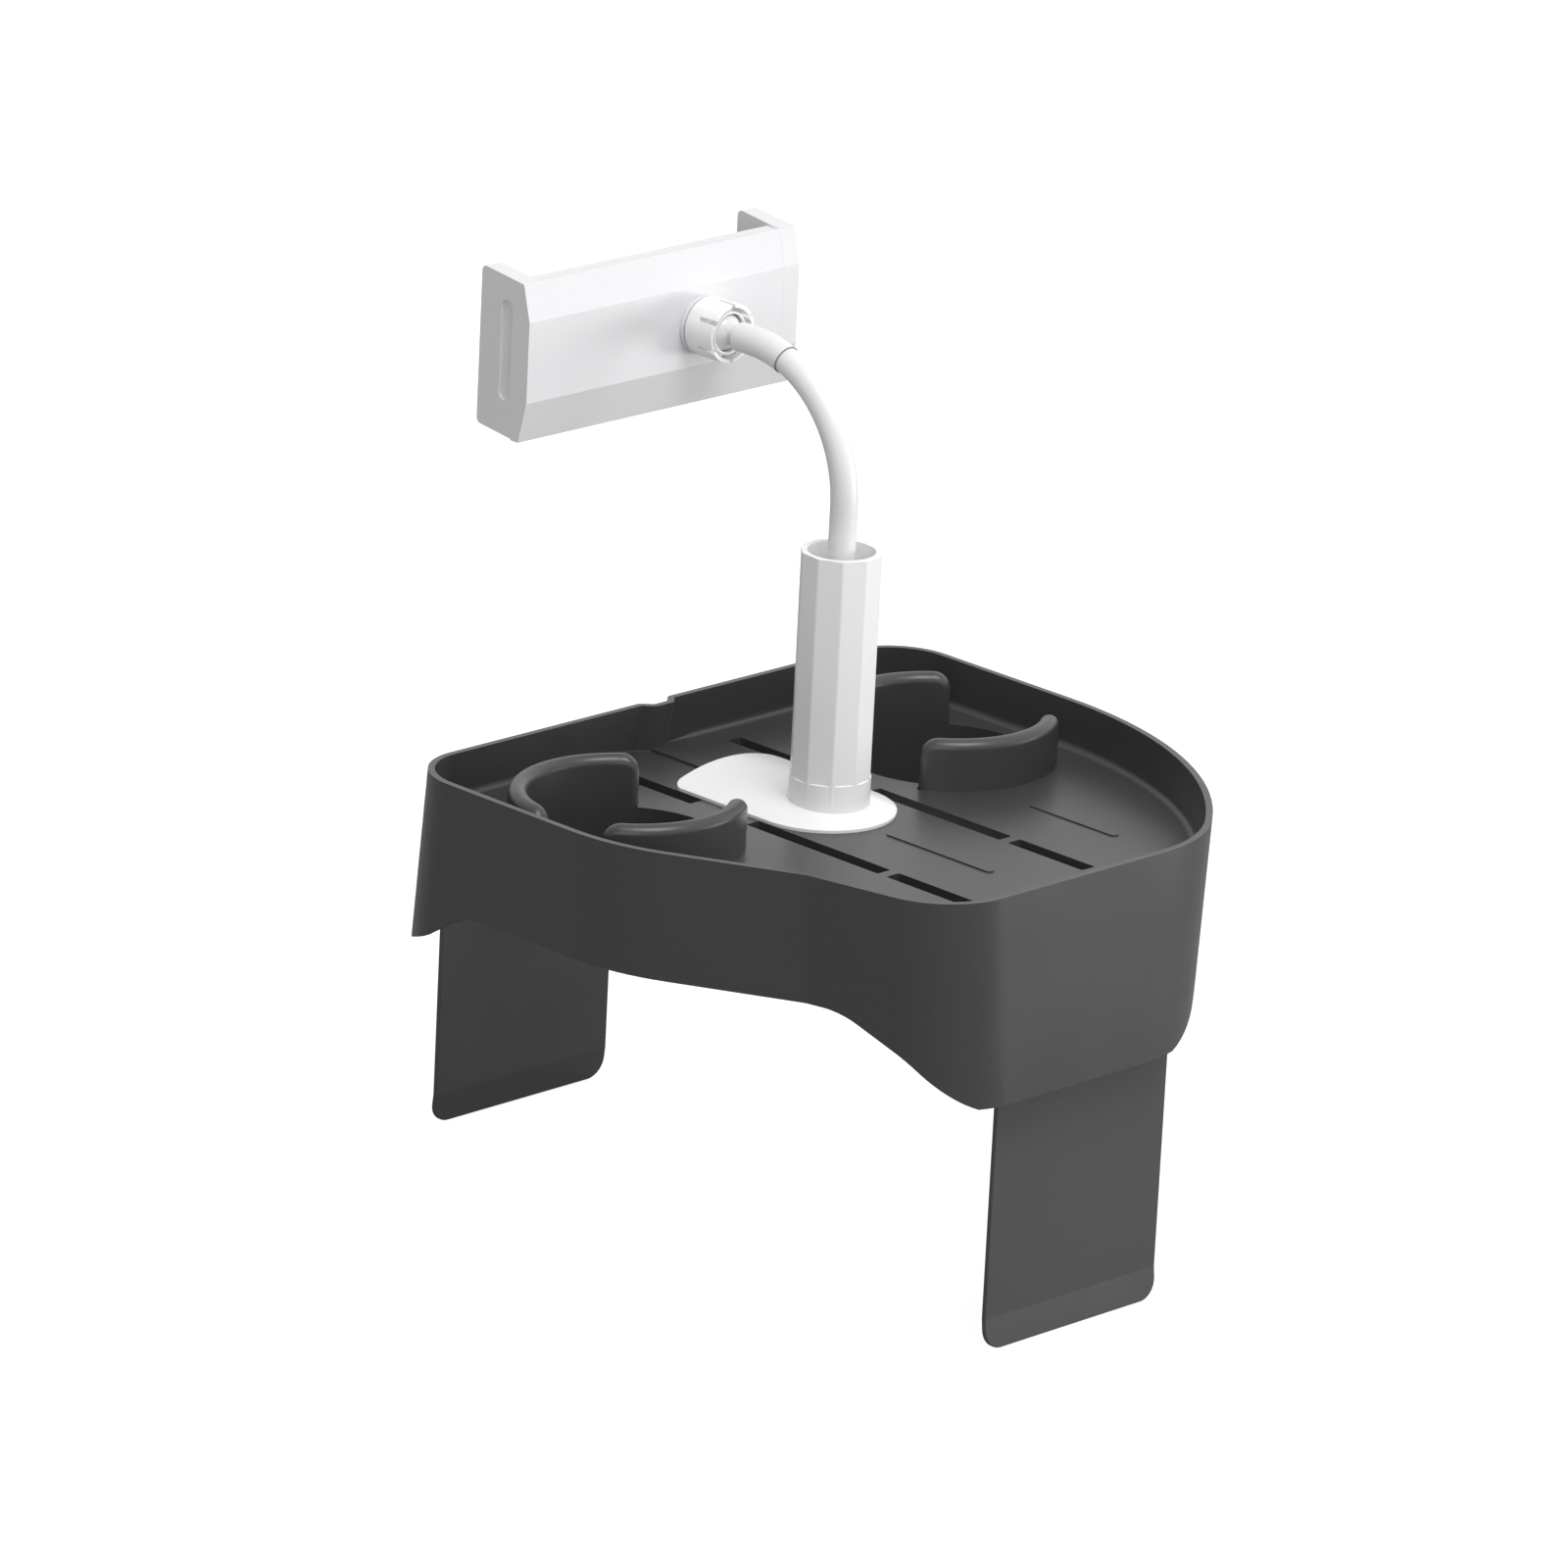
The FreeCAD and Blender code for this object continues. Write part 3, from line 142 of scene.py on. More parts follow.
FLOOR_HALF = 6.0
FLOOR_DROP = 0.0005
PAPER_GREY = "#9A9A9A"
PAPER_GLOW = 0.9
floor_mesh = bpy.data.meshes.new("floor")
floor_mesh.from_pydata([(-FLOOR_HALF, -FLOOR_HALF, 0), (FLOOR_HALF, -FLOOR_HALF, 0),
                        (FLOOR_HALF, FLOOR_HALF, 0), (-FLOOR_HALF, FLOOR_HALF, 0)],
                       [], [(0, 1, 2, 3)])
floor = bpy.data.objects.new("floor", floor_mesh)
floor.location.z = -FLOOR_DROP
scene.collection.objects.link(floor)
# Matt backdrop paper gives the eye a plain white ground with a faint shadow, and throws a mid
# grey's light back up under the tray.
paper = bpy.data.materials.new("white_backdrop_paper")
paper.use_nodes = True
tree = paper.node_tree
tree.nodes.clear()
rays = node(tree, "ShaderNodeLightPath")
matte = node(tree, "ShaderNodeBsdfDiffuse", {"Color": linear(PAPER_GREY)})
glow = node(tree, "ShaderNodeEmission", {"Color": (1, 1, 1, 1), "Strength": PAPER_GLOW})
both = node(tree, "ShaderNodeAddShader")
tree.links.new(matte.outputs["BSDF"], both.inputs[0])
tree.links.new(glow.outputs["Emission"], both.inputs[1])
pick = node(tree, "ShaderNodeMixShader", None)
tree.links.new(rays.outputs["Is Camera Ray"], pick.inputs[0])
tree.links.new(matte.outputs["BSDF"], pick.inputs[1])
tree.links.new(both.outputs["Shader"], pick.inputs[2])
node(tree, "ShaderNodeOutputMaterial", None, Surface=pick.outputs["Shader"])
floor_mesh.materials.append(paper)

# The camera stands where the photograph was taken: low, in front of the narrow end and to the
# near side, with a long lens and a small roll.
VIEW_AZIMUTH = math.radians(-45.51)
VIEW_ELEVATION = math.radians(18.51)
VIEW_ROLL = math.radians(2.88)
VIEW_SPOT = Vector((-2.9971, -2.9240, 1.5966))
VIEW_LENS = 237.8
SENSOR_WIDTH = 36.0
VIEW_REACH = 50.0
ahead = Vector((-math.sin(VIEW_AZIMUTH) * math.cos(VIEW_ELEVATION),
                math.cos(VIEW_AZIMUTH) * math.cos(VIEW_ELEVATION),
                -math.sin(VIEW_ELEVATION)))
level_right = Vector((math.cos(VIEW_AZIMUTH), math.sin(VIEW_AZIMUTH), 0))
level_up = level_right.cross(ahead)
right = math.cos(VIEW_ROLL) * level_right + math.sin(VIEW_ROLL) * level_up
above = -math.sin(VIEW_ROLL) * level_right + math.cos(VIEW_ROLL) * level_up
lens = bpy.data.cameras.new("camera")
lens.lens = VIEW_LENS
lens.sensor_width = SENSOR_WIDTH
lens.clip_end = VIEW_REACH
camera = bpy.data.objects.new("camera", lens)
turn = Matrix((right, above, -ahead)).transposed().to_4x4()
camera.matrix_world = Matrix.Translation(VIEW_SPOT) @ turn
scene.collection.objects.link(camera)
scene.camera = camera

# The tray: one ABS moulding, charcoal right through, with its floor, skirt and cup wells. The
# tool's fine spark texture leaves it satin, with a soft light along every rounded edge.
MM = 0.001
PATCH_SIZE = 45 * MM
SKIN_HEIGHT = 0.05 * MM
ABS_IOR = 1.53
SKIN_DETAIL = 3.0
PATCH_DETAIL = 2.0


def moulded_plastic(name, colour, grain, depth, rough, tint=0.03, uneven=0.045):
    """A moulded skin with a texture of one grain and depth. Its gloss and its shade vary a
    little, by uneven and by tint, over patches of PATCH_SIZE."""
    made = bpy.data.materials.new(name)
    made.use_nodes = True
    tree = made.node_tree
    tree.nodes.clear()
    place = node(tree, "ShaderNodeTexCoord")
    here = place.outputs["Object"]
    skin = node(tree, "ShaderNodeTexNoise", {"Scale": 1 / grain, "Detail": SKIN_DETAIL},
                Vector=here)
    patches = node(tree, "ShaderNodeTexNoise", {"Scale": 1 / PATCH_SIZE, "Detail": PATCH_DETAIL},
                   Vector=here)
    gloss = node(tree, "ShaderNodeMapRange", {"To Min": rough - uneven, "To Max": rough + uneven},
                 Value=patches.outputs["Fac"])
    base = linear(colour)
    dark = [c * (1 - tint) for c in base[:3]] + [1]
    pale = [c * (1 + tint) for c in base[:3]] + [1]
    shade = node(tree, "ShaderNodeMix", {"data_type": "RGBA"})
    tree.links.new(patches.outputs["Fac"], shade.inputs[0])
    shade.inputs[6].default_value = dark
    shade.inputs[7].default_value = pale
    bump = node(tree, "ShaderNodeBump", {"Strength": depth, "Distance": SKIN_HEIGHT},
                Height=skin.outputs["Fac"])
    body = node(tree, "ShaderNodeBsdfPrincipled", {"IOR": ABS_IOR},
                Roughness=gloss.outputs["Result"], Normal=bump.outputs["Normal"])
    tree.links.new(shade.outputs[2], body.inputs["Base Color"])
    node(tree, "ShaderNodeOutputMaterial", None, Surface=body.outputs["BSDF"])
    return made


JOIN_REACH = 0.002 * MM
CUT_SNAP = 0.01 * MM
DROP_MARGIN = 0.2 * MM
FLAT_ANGLE = math.radians(0.3)
ROUNDING_STEPS = 3


def dressed(name, source, edge, material, crease=35.0, drop=None, level=0.0):
    """A copy of a solid piece, joined up, with its sharp edges rounded, standing for it.

    crease is the angle in degrees past which an edge is sharp; an edge of 0 leaves it unrounded.
    drop is a test of a spot: faces above a level whose middle passes are left out, for a
    surface of their own.
    """
    original = frame["nodes"][source]
    mesh = original.data.copy()
    mesh.materials.clear()
    work = bmesh.new()
    work.from_mesh(mesh)
    bmesh.ops.remove_doubles(work, verts=work.verts, dist=JOIN_REACH)
    if drop:
        near = [face for face in work.faces if drop(face.calc_center_median())]
        edges = list({edge for face in near for edge in face.edges})
        bmesh.ops.bisect_plane(work, geom=near + edges, plane_co=(0, 0, level),
                               plane_no=(0, 0, 1), dist=CUT_SNAP)
        middles = [(face, face.calc_center_median()) for face in work.faces]
        gone = [face for face, spot in middles if spot.z > level + DROP_MARGIN and drop(spot)]
        bmesh.ops.delete(work, geom=gone, context="FACES")
    bmesh.ops.dissolve_limit(work, angle_limit=FLAT_ANGLE, verts=work.verts, edges=work.edges)
    work.to_mesh(mesh)
    work.free()
    piece = bpy.data.objects.new(name, mesh)
    scene.collection.objects.link(piece)
    mesh.materials.append(material)
    mesh.shade_smooth()
    if edge:
        rounding = piece.modifiers.new("edges", "BEVEL")
        rounding.width = edge
        rounding.segments = ROUNDING_STEPS
        rounding.limit_method = "ANGLE"
        rounding.angle_limit = math.radians(crease)
        rounding.use_clamp_overlap = True
        rounding.harden_normals = True
    else:
        mesh.set_sharp_from_angle(angle=math.radians(crease))
    even = piece.modifiers.new("even_shading", "WEIGHTED_NORMAL")
    even.keep_sharp = True
    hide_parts(source)
    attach(piece, original["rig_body"])
    return piece


FLOOR_TOP = 185.0
RIM_Y = 101.85
CUP_X = 94.5
CUP_SETBACK = 82.8
CUP_Y = RIM_Y - CUP_SETBACK
RING_INNER = 42.4
RING_WALL = 8.4
RING_MARGIN = 0.6
TRAY_EDGE = 0.9 * MM


def in_cup_ring(spot):
    """Whether a spot lies within the walls of one of the cup rings, at any height."""
    for cup_x in (-CUP_X, CUP_X):
        reach = math.hypot(spot.x / MM - cup_x, spot.y / MM - CUP_Y)
        if RING_INNER - RING_MARGIN < reach < RING_INNER + RING_WALL + RING_MARGIN:
            return True
    return False


# Spark-textured ABS gives the eye a dark satin skin. The real grain, about 0.1 mm, is too fine
# to show and is drawn coarser, 0.9 mm wide.
charcoal = moulded_plastic("charcoal_abs", "#3E3C3D", grain=0.9 * MM, depth=0.25, rough=0.33)
tray = dressed("tray_moulding", "tray_body", TRAY_EDGE, charcoal, drop=in_cup_ring,
               level=FLOOR_TOP * MM)

# Cup rings: two upright arcs round each cup, part of the tray's moulding, open between them so
# that a mug's handle fits. Their crown is a full round, and each end is rounded like a
# fingertip in plan and in height.
RING_HEIGHT = 22.5
RING_END_ROUND = 8.0
RING_FOOT = -0.8
RING_ARCS = (("back", 40.0, 178.0), ("front", 213.0, 315.0))


def ring_points(cup_x, first, last, stations=120, steps=33):
    """Stations along the arc; at each, the section climbs one wall, crosses the crown and
    comes down the other: half width w = W sqrt(1 - (1 - s/W)^2) within W of an end."""
    middle = RING_INNER + RING_WALL / 2
    half = RING_WALL / 2
    length = math.radians(last - first) * middle
    ease = (1 - np.cos(np.linspace(0, math.pi, stations))) / 2
    travel = ease * length
    near = np.minimum(travel, length - travel)
    width = half * np.sqrt(np.clip(1 - (1 - np.minimum(near, half) / half) ** 2, 0, 1))
    fall = 1 - np.sqrt(np.clip(1 - (1 - np.minimum(near, RING_END_ROUND) / RING_END_ROUND) ** 2,
                               0, 1))
    top = RING_HEIGHT - RING_END_ROUND * fall
    turn = np.linspace(0, math.pi, steps)
    across = -np.cos(turn)[None, :] * width[:, None]
    height = (top - half)[:, None] + np.sin(turn)[None, :] * half
    foot = np.full((stations, 1), RING_FOOT)
    across = np.hstack([across[:, :1], across, across[:, -1:]])
    height = np.hstack([foot, height, foot])
    angle = math.radians(first) + travel[:, None] / middle
    reach = middle + across
    return MM * np.stack([cup_x + reach * np.cos(angle), CUP_Y + reach * np.sin(angle),
                          FLOOR_TOP + height], axis=-1)


def surface(name, grids, material, body, along=False, around=False, flip=False):
    """A smooth piece from grids of points (rows, columns, 3); along joins the last row to the
    first, around the last column to the first, and flip turns the faces round."""
    points, faces, count = [], [], 0
    for grid in grids:
        rows, columns = grid.shape[:2]
        index = count + np.arange(rows * columns).reshape(rows, columns)
        count += rows * columns
        if along:
            index = np.vstack([index, index[:1]])
        if around:
            index = np.hstack([index, index[:, :1]])
        corners = (index[:-1, :-1], index[:-1, 1:], index[1:, 1:], index[1:, :-1])
        faces.append(np.stack(corners[::-1] if flip else corners, axis=-1).reshape(-1, 4))
        points.append(grid.reshape(-1, 3))
    mesh = bpy.data.meshes.new(name)
    mesh.from_pydata(np.vstack(points).tolist(), [], np.vstack(faces).tolist())
    mesh.validate()
    mesh.materials.append(material)
    mesh.shade_smooth()
    piece = bpy.data.objects.new(name, mesh)
    scene.collection.objects.link(piece)
    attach(piece, body)
    return piece


for side, cup_x in (("near", -CUP_X), ("far", CUP_X)):
    for name, first, last in RING_ARCS:
        surface("%s_cup_%s_arc" % (side, name), [ring_points(cup_x, first, last)], charcoal,
                "tray")

# The hollow fillet where the tray's wall meets its floor, part of the same moulding. It runs
# right round and fades out beside the notch of the wide end. The walls are drafted, so their
# line along the floor isn't the rim's.
COVE = 3.4
COVE_LEAST = 0.3
COVE_LIFT = 0.02
RIM_HEIGHT = 21.3
WALL_HEIGHT = 90.3
SIDE_WALL = 3.0
SIDE_HALF = 149.8
SIDE_DRAFT = 5.4
WIDE_DRAFT = 12.6
NARROW_Y = -275.0
NARROW_DRAFT = 4.6
BEND_Y = -129.6
BEND_RUN = 85.8
BEND_ANGLE = math.radians(27.6)
TAIL_ANGLE = math.radians(12.6)
SWEEP_Y = -197.2
SWEEP_ANGLE = math.radians(49.5)
NOTCH_HALF = 8.5
NOTCH_FLOOR_HALF = 4.0
NOTCH_DEPTH = 4.5
WIDE_ROUND = 30.0
NOTCH_LIP_ROUND = 3.6
NOTCH_FOOT_ROUND = -1.2
BEND_ROUND = 98.5
HOLLOW_ROUND = -11.4
NEAR_ROUND = 35.8
FAR_ROUND = 71.8
SWEEP_ROUND = 198.0
FADE_START = 12.0
FADE_RUN = 12.0
FADE_Y = -12.0


def tray_plan(height):
    """Corners (x, y, radius) of the tray's inner face at a height above the floor: the outer
    face's corners moved in by the wall along the bisector; a hollow corner's radius is
    negative."""
    share = (RIM_HEIGHT - height) / WALL_HEIGHT
    side = SIDE_HALF - SIDE_DRAFT * share
    wide = WIDE_DRAFT * share
    notch = wide - NOTCH_DEPTH
    narrow = NARROW_Y - NARROW_DRAFT * share
    bend_x = -side + BEND_RUN * math.sin(BEND_ANGLE)
    bend_y = BEND_Y - BEND_RUN * math.cos(BEND_ANGLE)
    tail_x = bend_x + (bend_y - narrow) * math.tan(TAIL_ANGLE)
    far_x = side - (SWEEP_Y - narrow) * math.tan(SWEEP_ANGLE)
    outer = np.array([
        (side, wide, WIDE_ROUND), (NOTCH_HALF, wide, NOTCH_LIP_ROUND),
        (NOTCH_FLOOR_HALF, notch, NOTCH_FOOT_ROUND),
        (-NOTCH_FLOOR_HALF, notch, NOTCH_FOOT_ROUND), (-NOTCH_HALF, wide, NOTCH_LIP_ROUND),
        (-side, wide, WIDE_ROUND), (-side, BEND_Y, BEND_ROUND), (bend_x, bend_y, HOLLOW_ROUND),
        (tail_x, narrow, NEAR_ROUND), (far_x, narrow, FAR_ROUND), (side, SWEEP_Y, SWEEP_ROUND)])
    spots = outer[:, :2]
    arrive = spots - np.roll(spots, 1, axis=0)
    arrive /= np.linalg.norm(arrive, axis=1)[:, None]
    leave = np.roll(arrive, -1, axis=0)
    inward = np.stack([-(arrive + leave)[:, 1], (arrive + leave)[:, 0]], axis=1)
    inward /= np.linalg.norm(inward, axis=1)[:, None]
    half = np.arccos(np.clip((arrive * leave).sum(axis=1), -1, 1)) / 2
    moved = spots + inward * (SIDE_WALL / np.cos(half))[:, None]
    return moved, outer[:, 2] - SIDE_WALL, arrive, leave


def tray_line(height, steps=24, runs=14):
    """Points and inward normals round the inner face at one height: an arc of the corner's
    radius, tangent to both sides, at each corner, and a straight run to the next."""
    spots, radii, arrive, leave = tray_plan(height)
    share = np.linspace(0, 1, steps)
    points, normals = [], []
    for spot, radius, before, after in zip(spots, radii, arrive, leave):
        turn = math.atan2(before[0] * after[1] - before[1] * after[0], before @ after)
        bulge = abs(radius)
        start = spot - before * bulge * math.tan(abs(turn) / 2)
        side = math.copysign(1.0, turn)
        inward = np.array([-before[1], before[0]])
        centre = start + inward * side * bulge
        angle = math.atan2(*(start - centre)[::-1]) + share * turn
        ray = np.stack([np.cos(angle), np.sin(angle)], axis=1)
        points.append(centre + bulge * ray)
        normals.append(-side * ray)
    line, facing = [], []
    step = np.linspace(0, 1, runs + 2)[1:-1, None]
    for index in range(len(points)):
        follow = (index + 1) % len(points)
        line += [points[index], points[index][-1] * (1 - step) + points[follow][0] * step]
        facing += [normals[index], np.repeat(normals[index][-1:], runs, axis=0)]
    return np.vstack(line), np.vstack(facing)


def cove_points(steps=11):
    """A quarter circle from the wall to the floor at every point of the inner line, at height
    r (1 - sin t) and r (1 - cos t) from the wall; towards the notch r shrinks in a smooth
    step, 3 b^2 - 2 b^3 of the share b."""
    low, facing = tray_line(0.0)
    high, _ = tray_line(COVE)
    beside = np.clip((np.abs(low[:, 0]) - FADE_START) / FADE_RUN, 0, 1)
    beside = np.where(low[:, 1] > FADE_Y, beside * beside * (3 - 2 * beside), 1.0)
    radius = (COVE_LEAST + (COVE - COVE_LEAST) * beside)[:, None]
    turn = np.linspace(0, math.pi / 2, steps)[None, :]
    height = radius * (1 - np.sin(turn))
    inset = radius * (1 - np.cos(turn))
    share = (height / COVE)[..., None]
    wall = low[:, None, :] * (1 - share) + high[:, None, :] * share
    place = wall + facing[:, None, :] * inset[..., None]
    return MM * np.dstack([place[..., 0], place[..., 1] + RIM_Y, height + FLOOR_TOP + COVE_LIFT])


surface("wall_to_floor_cove", [cove_points()], charcoal, "tray", along=True,
        flip=True)

# The two legs: each one charcoal ABS moulding, a flat arm that slides on the rails under the
# tray's floor and a wide plate that hangs from it, with a kicked toe.
LEG_EDGE = 0.5 * MM
# The same ABS from a smoother tool gives the eye more gloss and hardly any grain. The grain,
# under 0.1 mm, is drawn coarser, 1.2 mm wide and shallow.
leg_plastic = moulded_plastic("smooth_charcoal_abs", "#49484A", grain=1.2 * MM, depth=0.12,
                              rough=0.3)
for side in ("narrow", "wide"):
    leg = dressed(side + "_leg_plate", side + "_leg", LEG_EDGE, leg_plastic)

# The rails: two charcoal ABS angle strips, each screwed under a runner of the tray's floor. The
# legs' arms slide on their lips.
RAIL_EDGE = 0.3 * MM
for side in ("left", "right"):
    rail = dressed(side + "_rail_strip", side + "_rail", RAIL_EDGE, charcoal)

# The post, its foot, the ball joint and the phone holder: glossy white ABS mouldings. The foot
# is screwed to the floor, the post stands in it, and its ten flats end above a round collar.
POST_SETBACK = 108.8
POST_Y = RIM_Y - POST_SETBACK
FLATS_TURN = math.radians(-12.0)
# ABS from a polished tool gives the eye an even, slightly cold white with a clear gloss. Its
# faint unevenness, well under 0.1 mm, is drawn coarser, 1.5 mm wide. The foot, the post and the
# nut take a lighter copy of this white, painted light that makes them a shade brighter than the
# holder.
white = moulded_plastic("gloss_white_abs", "#DEDEE0", grain=1.5 * MM, depth=0.04, rough=0.26,
                        tint=0.006, uneven=0.012)
# A lighter copy of the same white ABS: painted light for the foot, the post and the nut.
painted_lighter_white = moulded_plastic("gloss_white_abs_painted_lighter", "#F2F2F3", grain=1.5 * MM, depth=0.04,
                               rough=0.26, tint=0.006, uneven=0.012)
# Each moulding with the rounding of its edges in mm, the angle in degrees past which an edge is
# sharp, and its skin.
for source, edge, crease, skin in (
        ("post_base", 0.5, 35, painted_lighter_white), ("post_tube", 0.14, 30, painted_lighter_white),
        ("neck_plug", 0.3, 35, white), ("neck_ferrule", 0.4, 35, white),
        ("ball_stud", 0.0, 35, white), ("ball_socket", 0.3, 35, white),
        ("locking_nut", 0.3, 35, painted_lighter_white), ("holder_housing", 0.8, 11, white),
        ("holder_cover", 0.5, 35, white), ("sliding_jaw", 0.0, 11, white)):
    piece = dressed(source + "_shell", source, edge * MM, skin, crease=crease)
    if source == "post_tube":
        axis = Matrix.Translation((0, POST_Y * MM, 0))
        turn = Matrix.Rotation(FLATS_TURN, 4, "Z")
        piece.data.transform(axis @ turn @ axis.inverted())

# The bent neck: a soft white PVC sleeve drawn over a core that keeps its bend, with a second,
# thicker sleeve over the last part of the bend, up to the ball's stem.
NECK_EDGE = 0.15 * MM
# Soft PVC gives the eye a silkier white than the post's, with a broad, dim highlight. Its
# grain, about 0.1 mm, is drawn coarser, 1.5 mm wide.
soft_white = moulded_plastic("soft_white_pvc", "#E4E4E4", grain=1.5 * MM, depth=0.04, rough=0.4,
                             tint=0.006, uneven=0.012)
for source, slot in (("gooseneck_arm", "white_neck"), ("neck_sleeve", "white_plastic")):
    piece = dressed(source + "_skin", source, NECK_EDGE, soft_white)

# Painted shade at the sleeve's mouth: a thin grey ring between the sleeve and the neck stands for
# the shadow in the seam there, and shows as a dark line round the bend.
NECK_BEND = 58.7
NECK_RISE = 136.2
SLEEVE_ANGLE = math.radians(70.0)
SEAM_SHADE_REACH = 6.15
SEAM_SHADE_HALF = 0.32


def seam_shade_points(rows=96, columns=12):
    """A ring of painted seam shade (major radius SEAM_SHADE_REACH, minor SEAM_SHADE_HALF) square
    to the neck at its angle.
    """
    turn = (np.arange(rows) * 2 * math.pi / rows)[:, None]
    tube = (np.arange(columns) * 2 * math.pi / columns)[None, :]
    reach = SEAM_SHADE_REACH + SEAM_SHADE_HALF * np.cos(tube)
    across = reach * np.cos(turn)
    up = reach * np.sin(turn)
    ahead = SEAM_SHADE_HALF * np.sin(tube) + 0 * turn
    cos, sin = math.cos(SLEEVE_ANGLE), math.sin(SLEEVE_ANGLE)
    y = POST_Y + NECK_BEND * (1 - cos) + ahead * sin - up * cos
    z = FLOOR_TOP + NECK_RISE + NECK_BEND * sin + ahead * cos + up * sin
    return MM * np.dstack([across, y, z])


# A dull grey with no clear highlight, painted shade for the seam at the sleeve's mouth. Its
# tooth is drawn 0.8 mm wide.
seam_shade_grey = moulded_plastic("painted_seam_shade", "#7E7E80", grain=0.8 * MM, depth=0.2,
                              rough=0.6, tint=0.02)
# The grey ring is painted shade: it stands for the shadow in the seam between sleeve and neck.
surface("sleeve_seam_shade", [seam_shade_points()], seam_shade_grey, "tray", along=True,
        around=True)

# The jaws' grip pads: pale rubber, glued to the jaws' inner faces, with fine ribs across so
# that a phone doesn't slip. Their edges are moulded round.
PAD_HALF_DEPTH = 6.0
PAD_HALF_HEIGHT = 23.0
PAD_CORNER = 3.0
PAD_WALL = 1.5
PAD_Y = 104.2
PAD_Z = 379.45
PAD_ROUND = 0.8
LEFT_JAW_FACE = -92.6
RIGHT_JAW_FACE = 48.6
RIB_PITCH = 2.3
RIB_DEPTH = 0.35
RIB_FADE = 0.6


def pad_points(face_x, way, rows=281, columns=25):
    """A grid over the pad's outline; it stands off the jaw by a height that falls to nothing
    in a quarter round at the edge, less the ribs' grooves, which follow (1 - cos)^2."""
    up = np.linspace(-PAD_HALF_HEIGHT, PAD_HALF_HEIGHT, rows)[:, None]
    share = np.sin(np.linspace(-math.pi / 2, math.pi / 2, columns))[None, :]
    past = np.clip(np.abs(up) - (PAD_HALF_HEIGHT - PAD_CORNER), 0, PAD_CORNER)
    half = PAD_HALF_DEPTH - PAD_CORNER + np.sqrt(PAD_CORNER ** 2 - past ** 2)
    across = share * half
    edge = np.minimum(half - np.abs(across), PAD_HALF_HEIGHT - np.abs(up))
    rise = np.sqrt(np.clip(1 - (1 - np.clip(edge / PAD_ROUND, 0, 1)) ** 2, 0, 1))
    ribs = RIB_DEPTH * (0.5 - 0.5 * np.cos(2 * math.pi * up / RIB_PITCH)) ** 2
    height = rise * (PAD_WALL - ribs * np.clip((edge - PAD_ROUND) / RIB_FADE, 0, 1))
    return MM * np.dstack([face_x + way * height, PAD_Y + across, PAD_Z + up + 0 * across])


# Soft moulded rubber gives the eye a pale matt grey with a fine tooth. The tooth, about
# 0.1 mm, is drawn coarser, 0.8 mm wide.
rubber = moulded_plastic("pale_grip_rubber", "#CFCFD1", grain=0.8 * MM, depth=0.4, rough=0.7,
                         tint=0.02)
left_grip = surface("left_grip", [pad_points(LEFT_JAW_FACE, 1)], rubber, "holder")
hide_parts("left_jaw_pad")
right_grip = surface("right_grip", [pad_points(RIGHT_JAW_FACE, -1)], rubber, "jaw",
                     flip=True)
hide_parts("right_jaw_pad")

# The sliding jaw's two guide rods: plain stainless steel, turned. One end of each sits in a
# socket of the jaw, and the rest slides in a bore of the housing.
ROD_EDGE = 0.2 * MM
# Turned stainless steel gives the eye bright metal with a gloss that varies over the tool's
# marks. The marks, about 0.1 mm, are drawn coarser, 0.6 mm wide.
TOOL_MARK = 0.6 * MM
MARK_DETAIL = 2.0
STEEL_COLOUR = "#C4C4C6"
STEEL_SMOOTH = 0.22
STEEL_ROUGH = 0.38
steel = bpy.data.materials.new("turned_stainless_steel")
steel.use_nodes = True
tree = steel.node_tree
tree.nodes.clear()
place = node(tree, "ShaderNodeTexCoord")
lines = node(tree, "ShaderNodeTexNoise", {"Scale": 1 / TOOL_MARK, "Detail": MARK_DETAIL},
             Vector=place.outputs["Object"])
rough = node(tree, "ShaderNodeMapRange", {"To Min": STEEL_SMOOTH, "To Max": STEEL_ROUGH},
             Value=lines.outputs["Fac"])
metal = node(tree, "ShaderNodeBsdfPrincipled",
             {"Base Color": linear(STEEL_COLOUR), "Metallic": 1.0},
             Roughness=rough.outputs["Result"])
node(tree, "ShaderNodeOutputMaterial", None, Surface=metal.outputs["BSDF"])
rods = dressed("guide_rod_pair", "guide_rods", ROD_EDGE, steel)

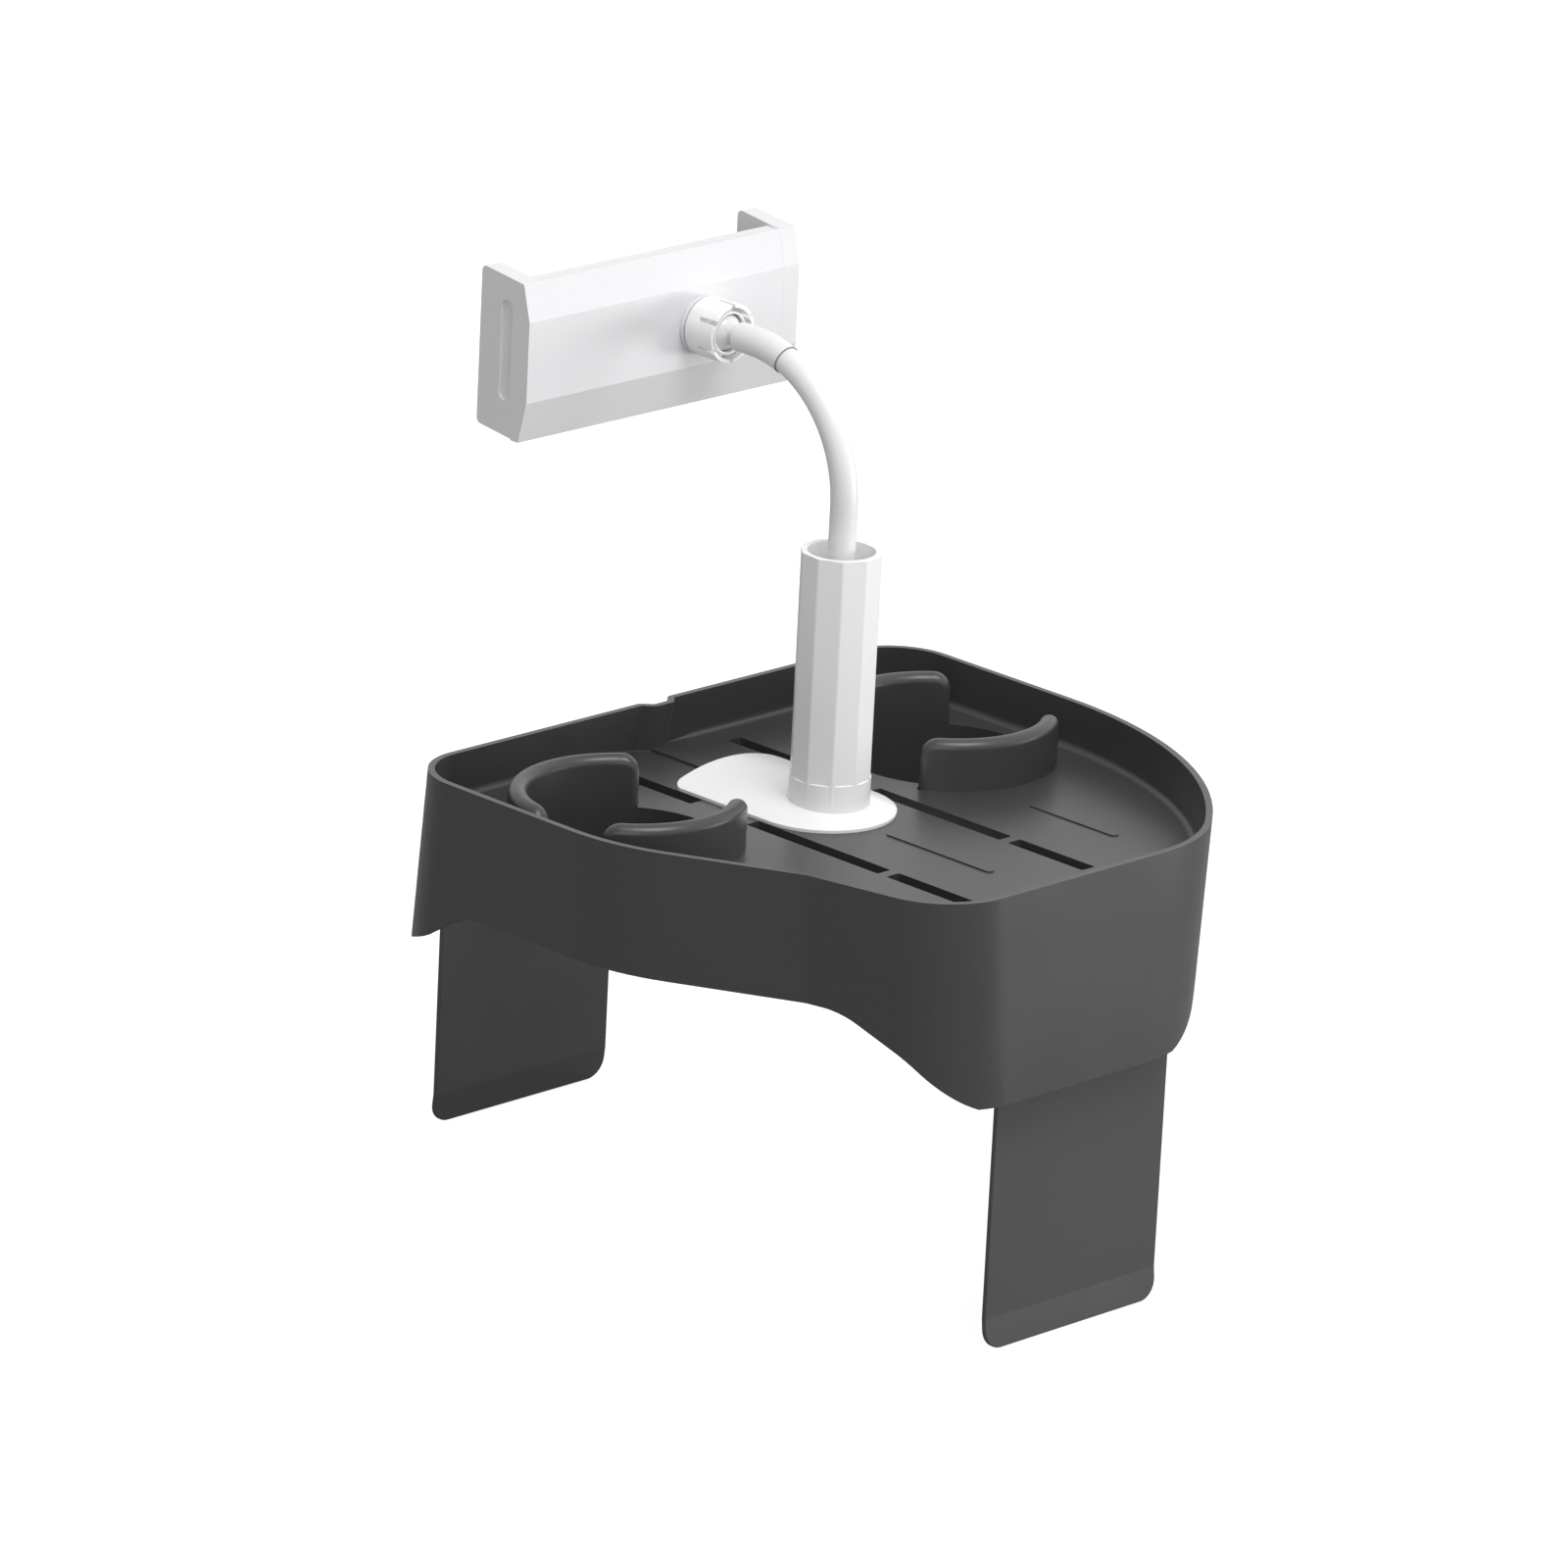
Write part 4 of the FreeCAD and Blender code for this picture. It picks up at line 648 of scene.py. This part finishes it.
# The screws: stainless pan heads with a cross recess, driven from below. Eight hold the rails
# to the runners, and four hold the post's foot to the floor.
RAIL_SEAT = 163.95
RAIL_X = 45.3
RAIL_FIRST = 67.85
RAIL_SPAN = 199.0
RAIL_GAPS = 3
RAIL_ROWS = [RAIL_FIRST - step * RAIL_SPAN / RAIL_GAPS for step in range(RAIL_GAPS + 1)]
BASE_SEAT = 182.0
BASE_X = 22.0
BASE_ROWS = (-2.95, 35.05)
RECESS_HALF = 0.17
RECESS_REACH = 0.62
RECESS_DEPTH = 0.6
RECESS_SIDE_SLOPE = 0.06
RECESS_END_SLOPE = 0.12
TIP_SHARE = 0.6
TIP_LENGTH = 0.6
SEAT_SHARE = 0.96
RIM_SHARE = 0.3
CROWN_SQUARENESS = 2.6
CROWN_FALL = 0.7
CROWN_ROWS = 26
SHANK_ROWS = 5


def screw_points(x, y, seat, head, shank, head_height, length, columns=64):
    """A pan-head screw driven upward: its section turned about the upright axis. At a share u
    of the head's radius the crown stands (1 - u^2.6)^0.7 above its rim, and a cross recess is
    pressed into it where |x| or |y| is small."""
    tip = seat + length
    crown = np.linspace(1, 0, CROWN_ROWS)
    radius = np.concatenate([[0, shank * TIP_SHARE, shank, shank, head * SEAT_SHARE],
                             head * crown])
    rise = RIM_SHARE + (1 - RIM_SHARE) * (1 - crown ** CROWN_SQUARENESS) ** CROWN_FALL
    depth = np.concatenate([[tip, tip, tip - TIP_LENGTH, seat, seat], seat - head_height * rise])
    turn = np.arange(columns) * 2 * math.pi / columns
    across = radius[:, None] * np.cos(turn)[None, :]
    along = radius[:, None] * np.sin(turn)[None, :]
    near = np.minimum(np.abs(across), np.abs(along)) / head
    far = np.maximum(np.abs(across), np.abs(along)) / head
    cut = (np.clip((RECESS_HALF - near) / RECESS_SIDE_SLOPE, 0, 1)
           * np.clip((RECESS_REACH - far) / RECESS_END_SLOPE, 0, 1))
    cut[:SHANK_ROWS] = 0
    level = depth[:, None] + RECESS_DEPTH * head_height * cut
    return MM * np.dstack([x + across, y + along, level])


rail_grids = [screw_points(x, y, RAIL_SEAT, head=2.5, shank=1.4, head_height=1.8, length=9.0)
              for x in (-RAIL_X, RAIL_X) for y in RAIL_ROWS]
rail_heads = surface("rail_screw_set", rail_grids, steel, "tray", around=True,
                     flip=True)
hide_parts("rail_screws")
base_grids = [screw_points(x, y, BASE_SEAT, head=3.75, shank=2.0, head_height=2.2, length=5.0)
              for x in (-BASE_X, BASE_X) for y in BASE_ROWS]
base_heads = surface("base_screw_set", base_grids, steel, "tray", around=True,
                     flip=True)
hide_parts("base_screws")
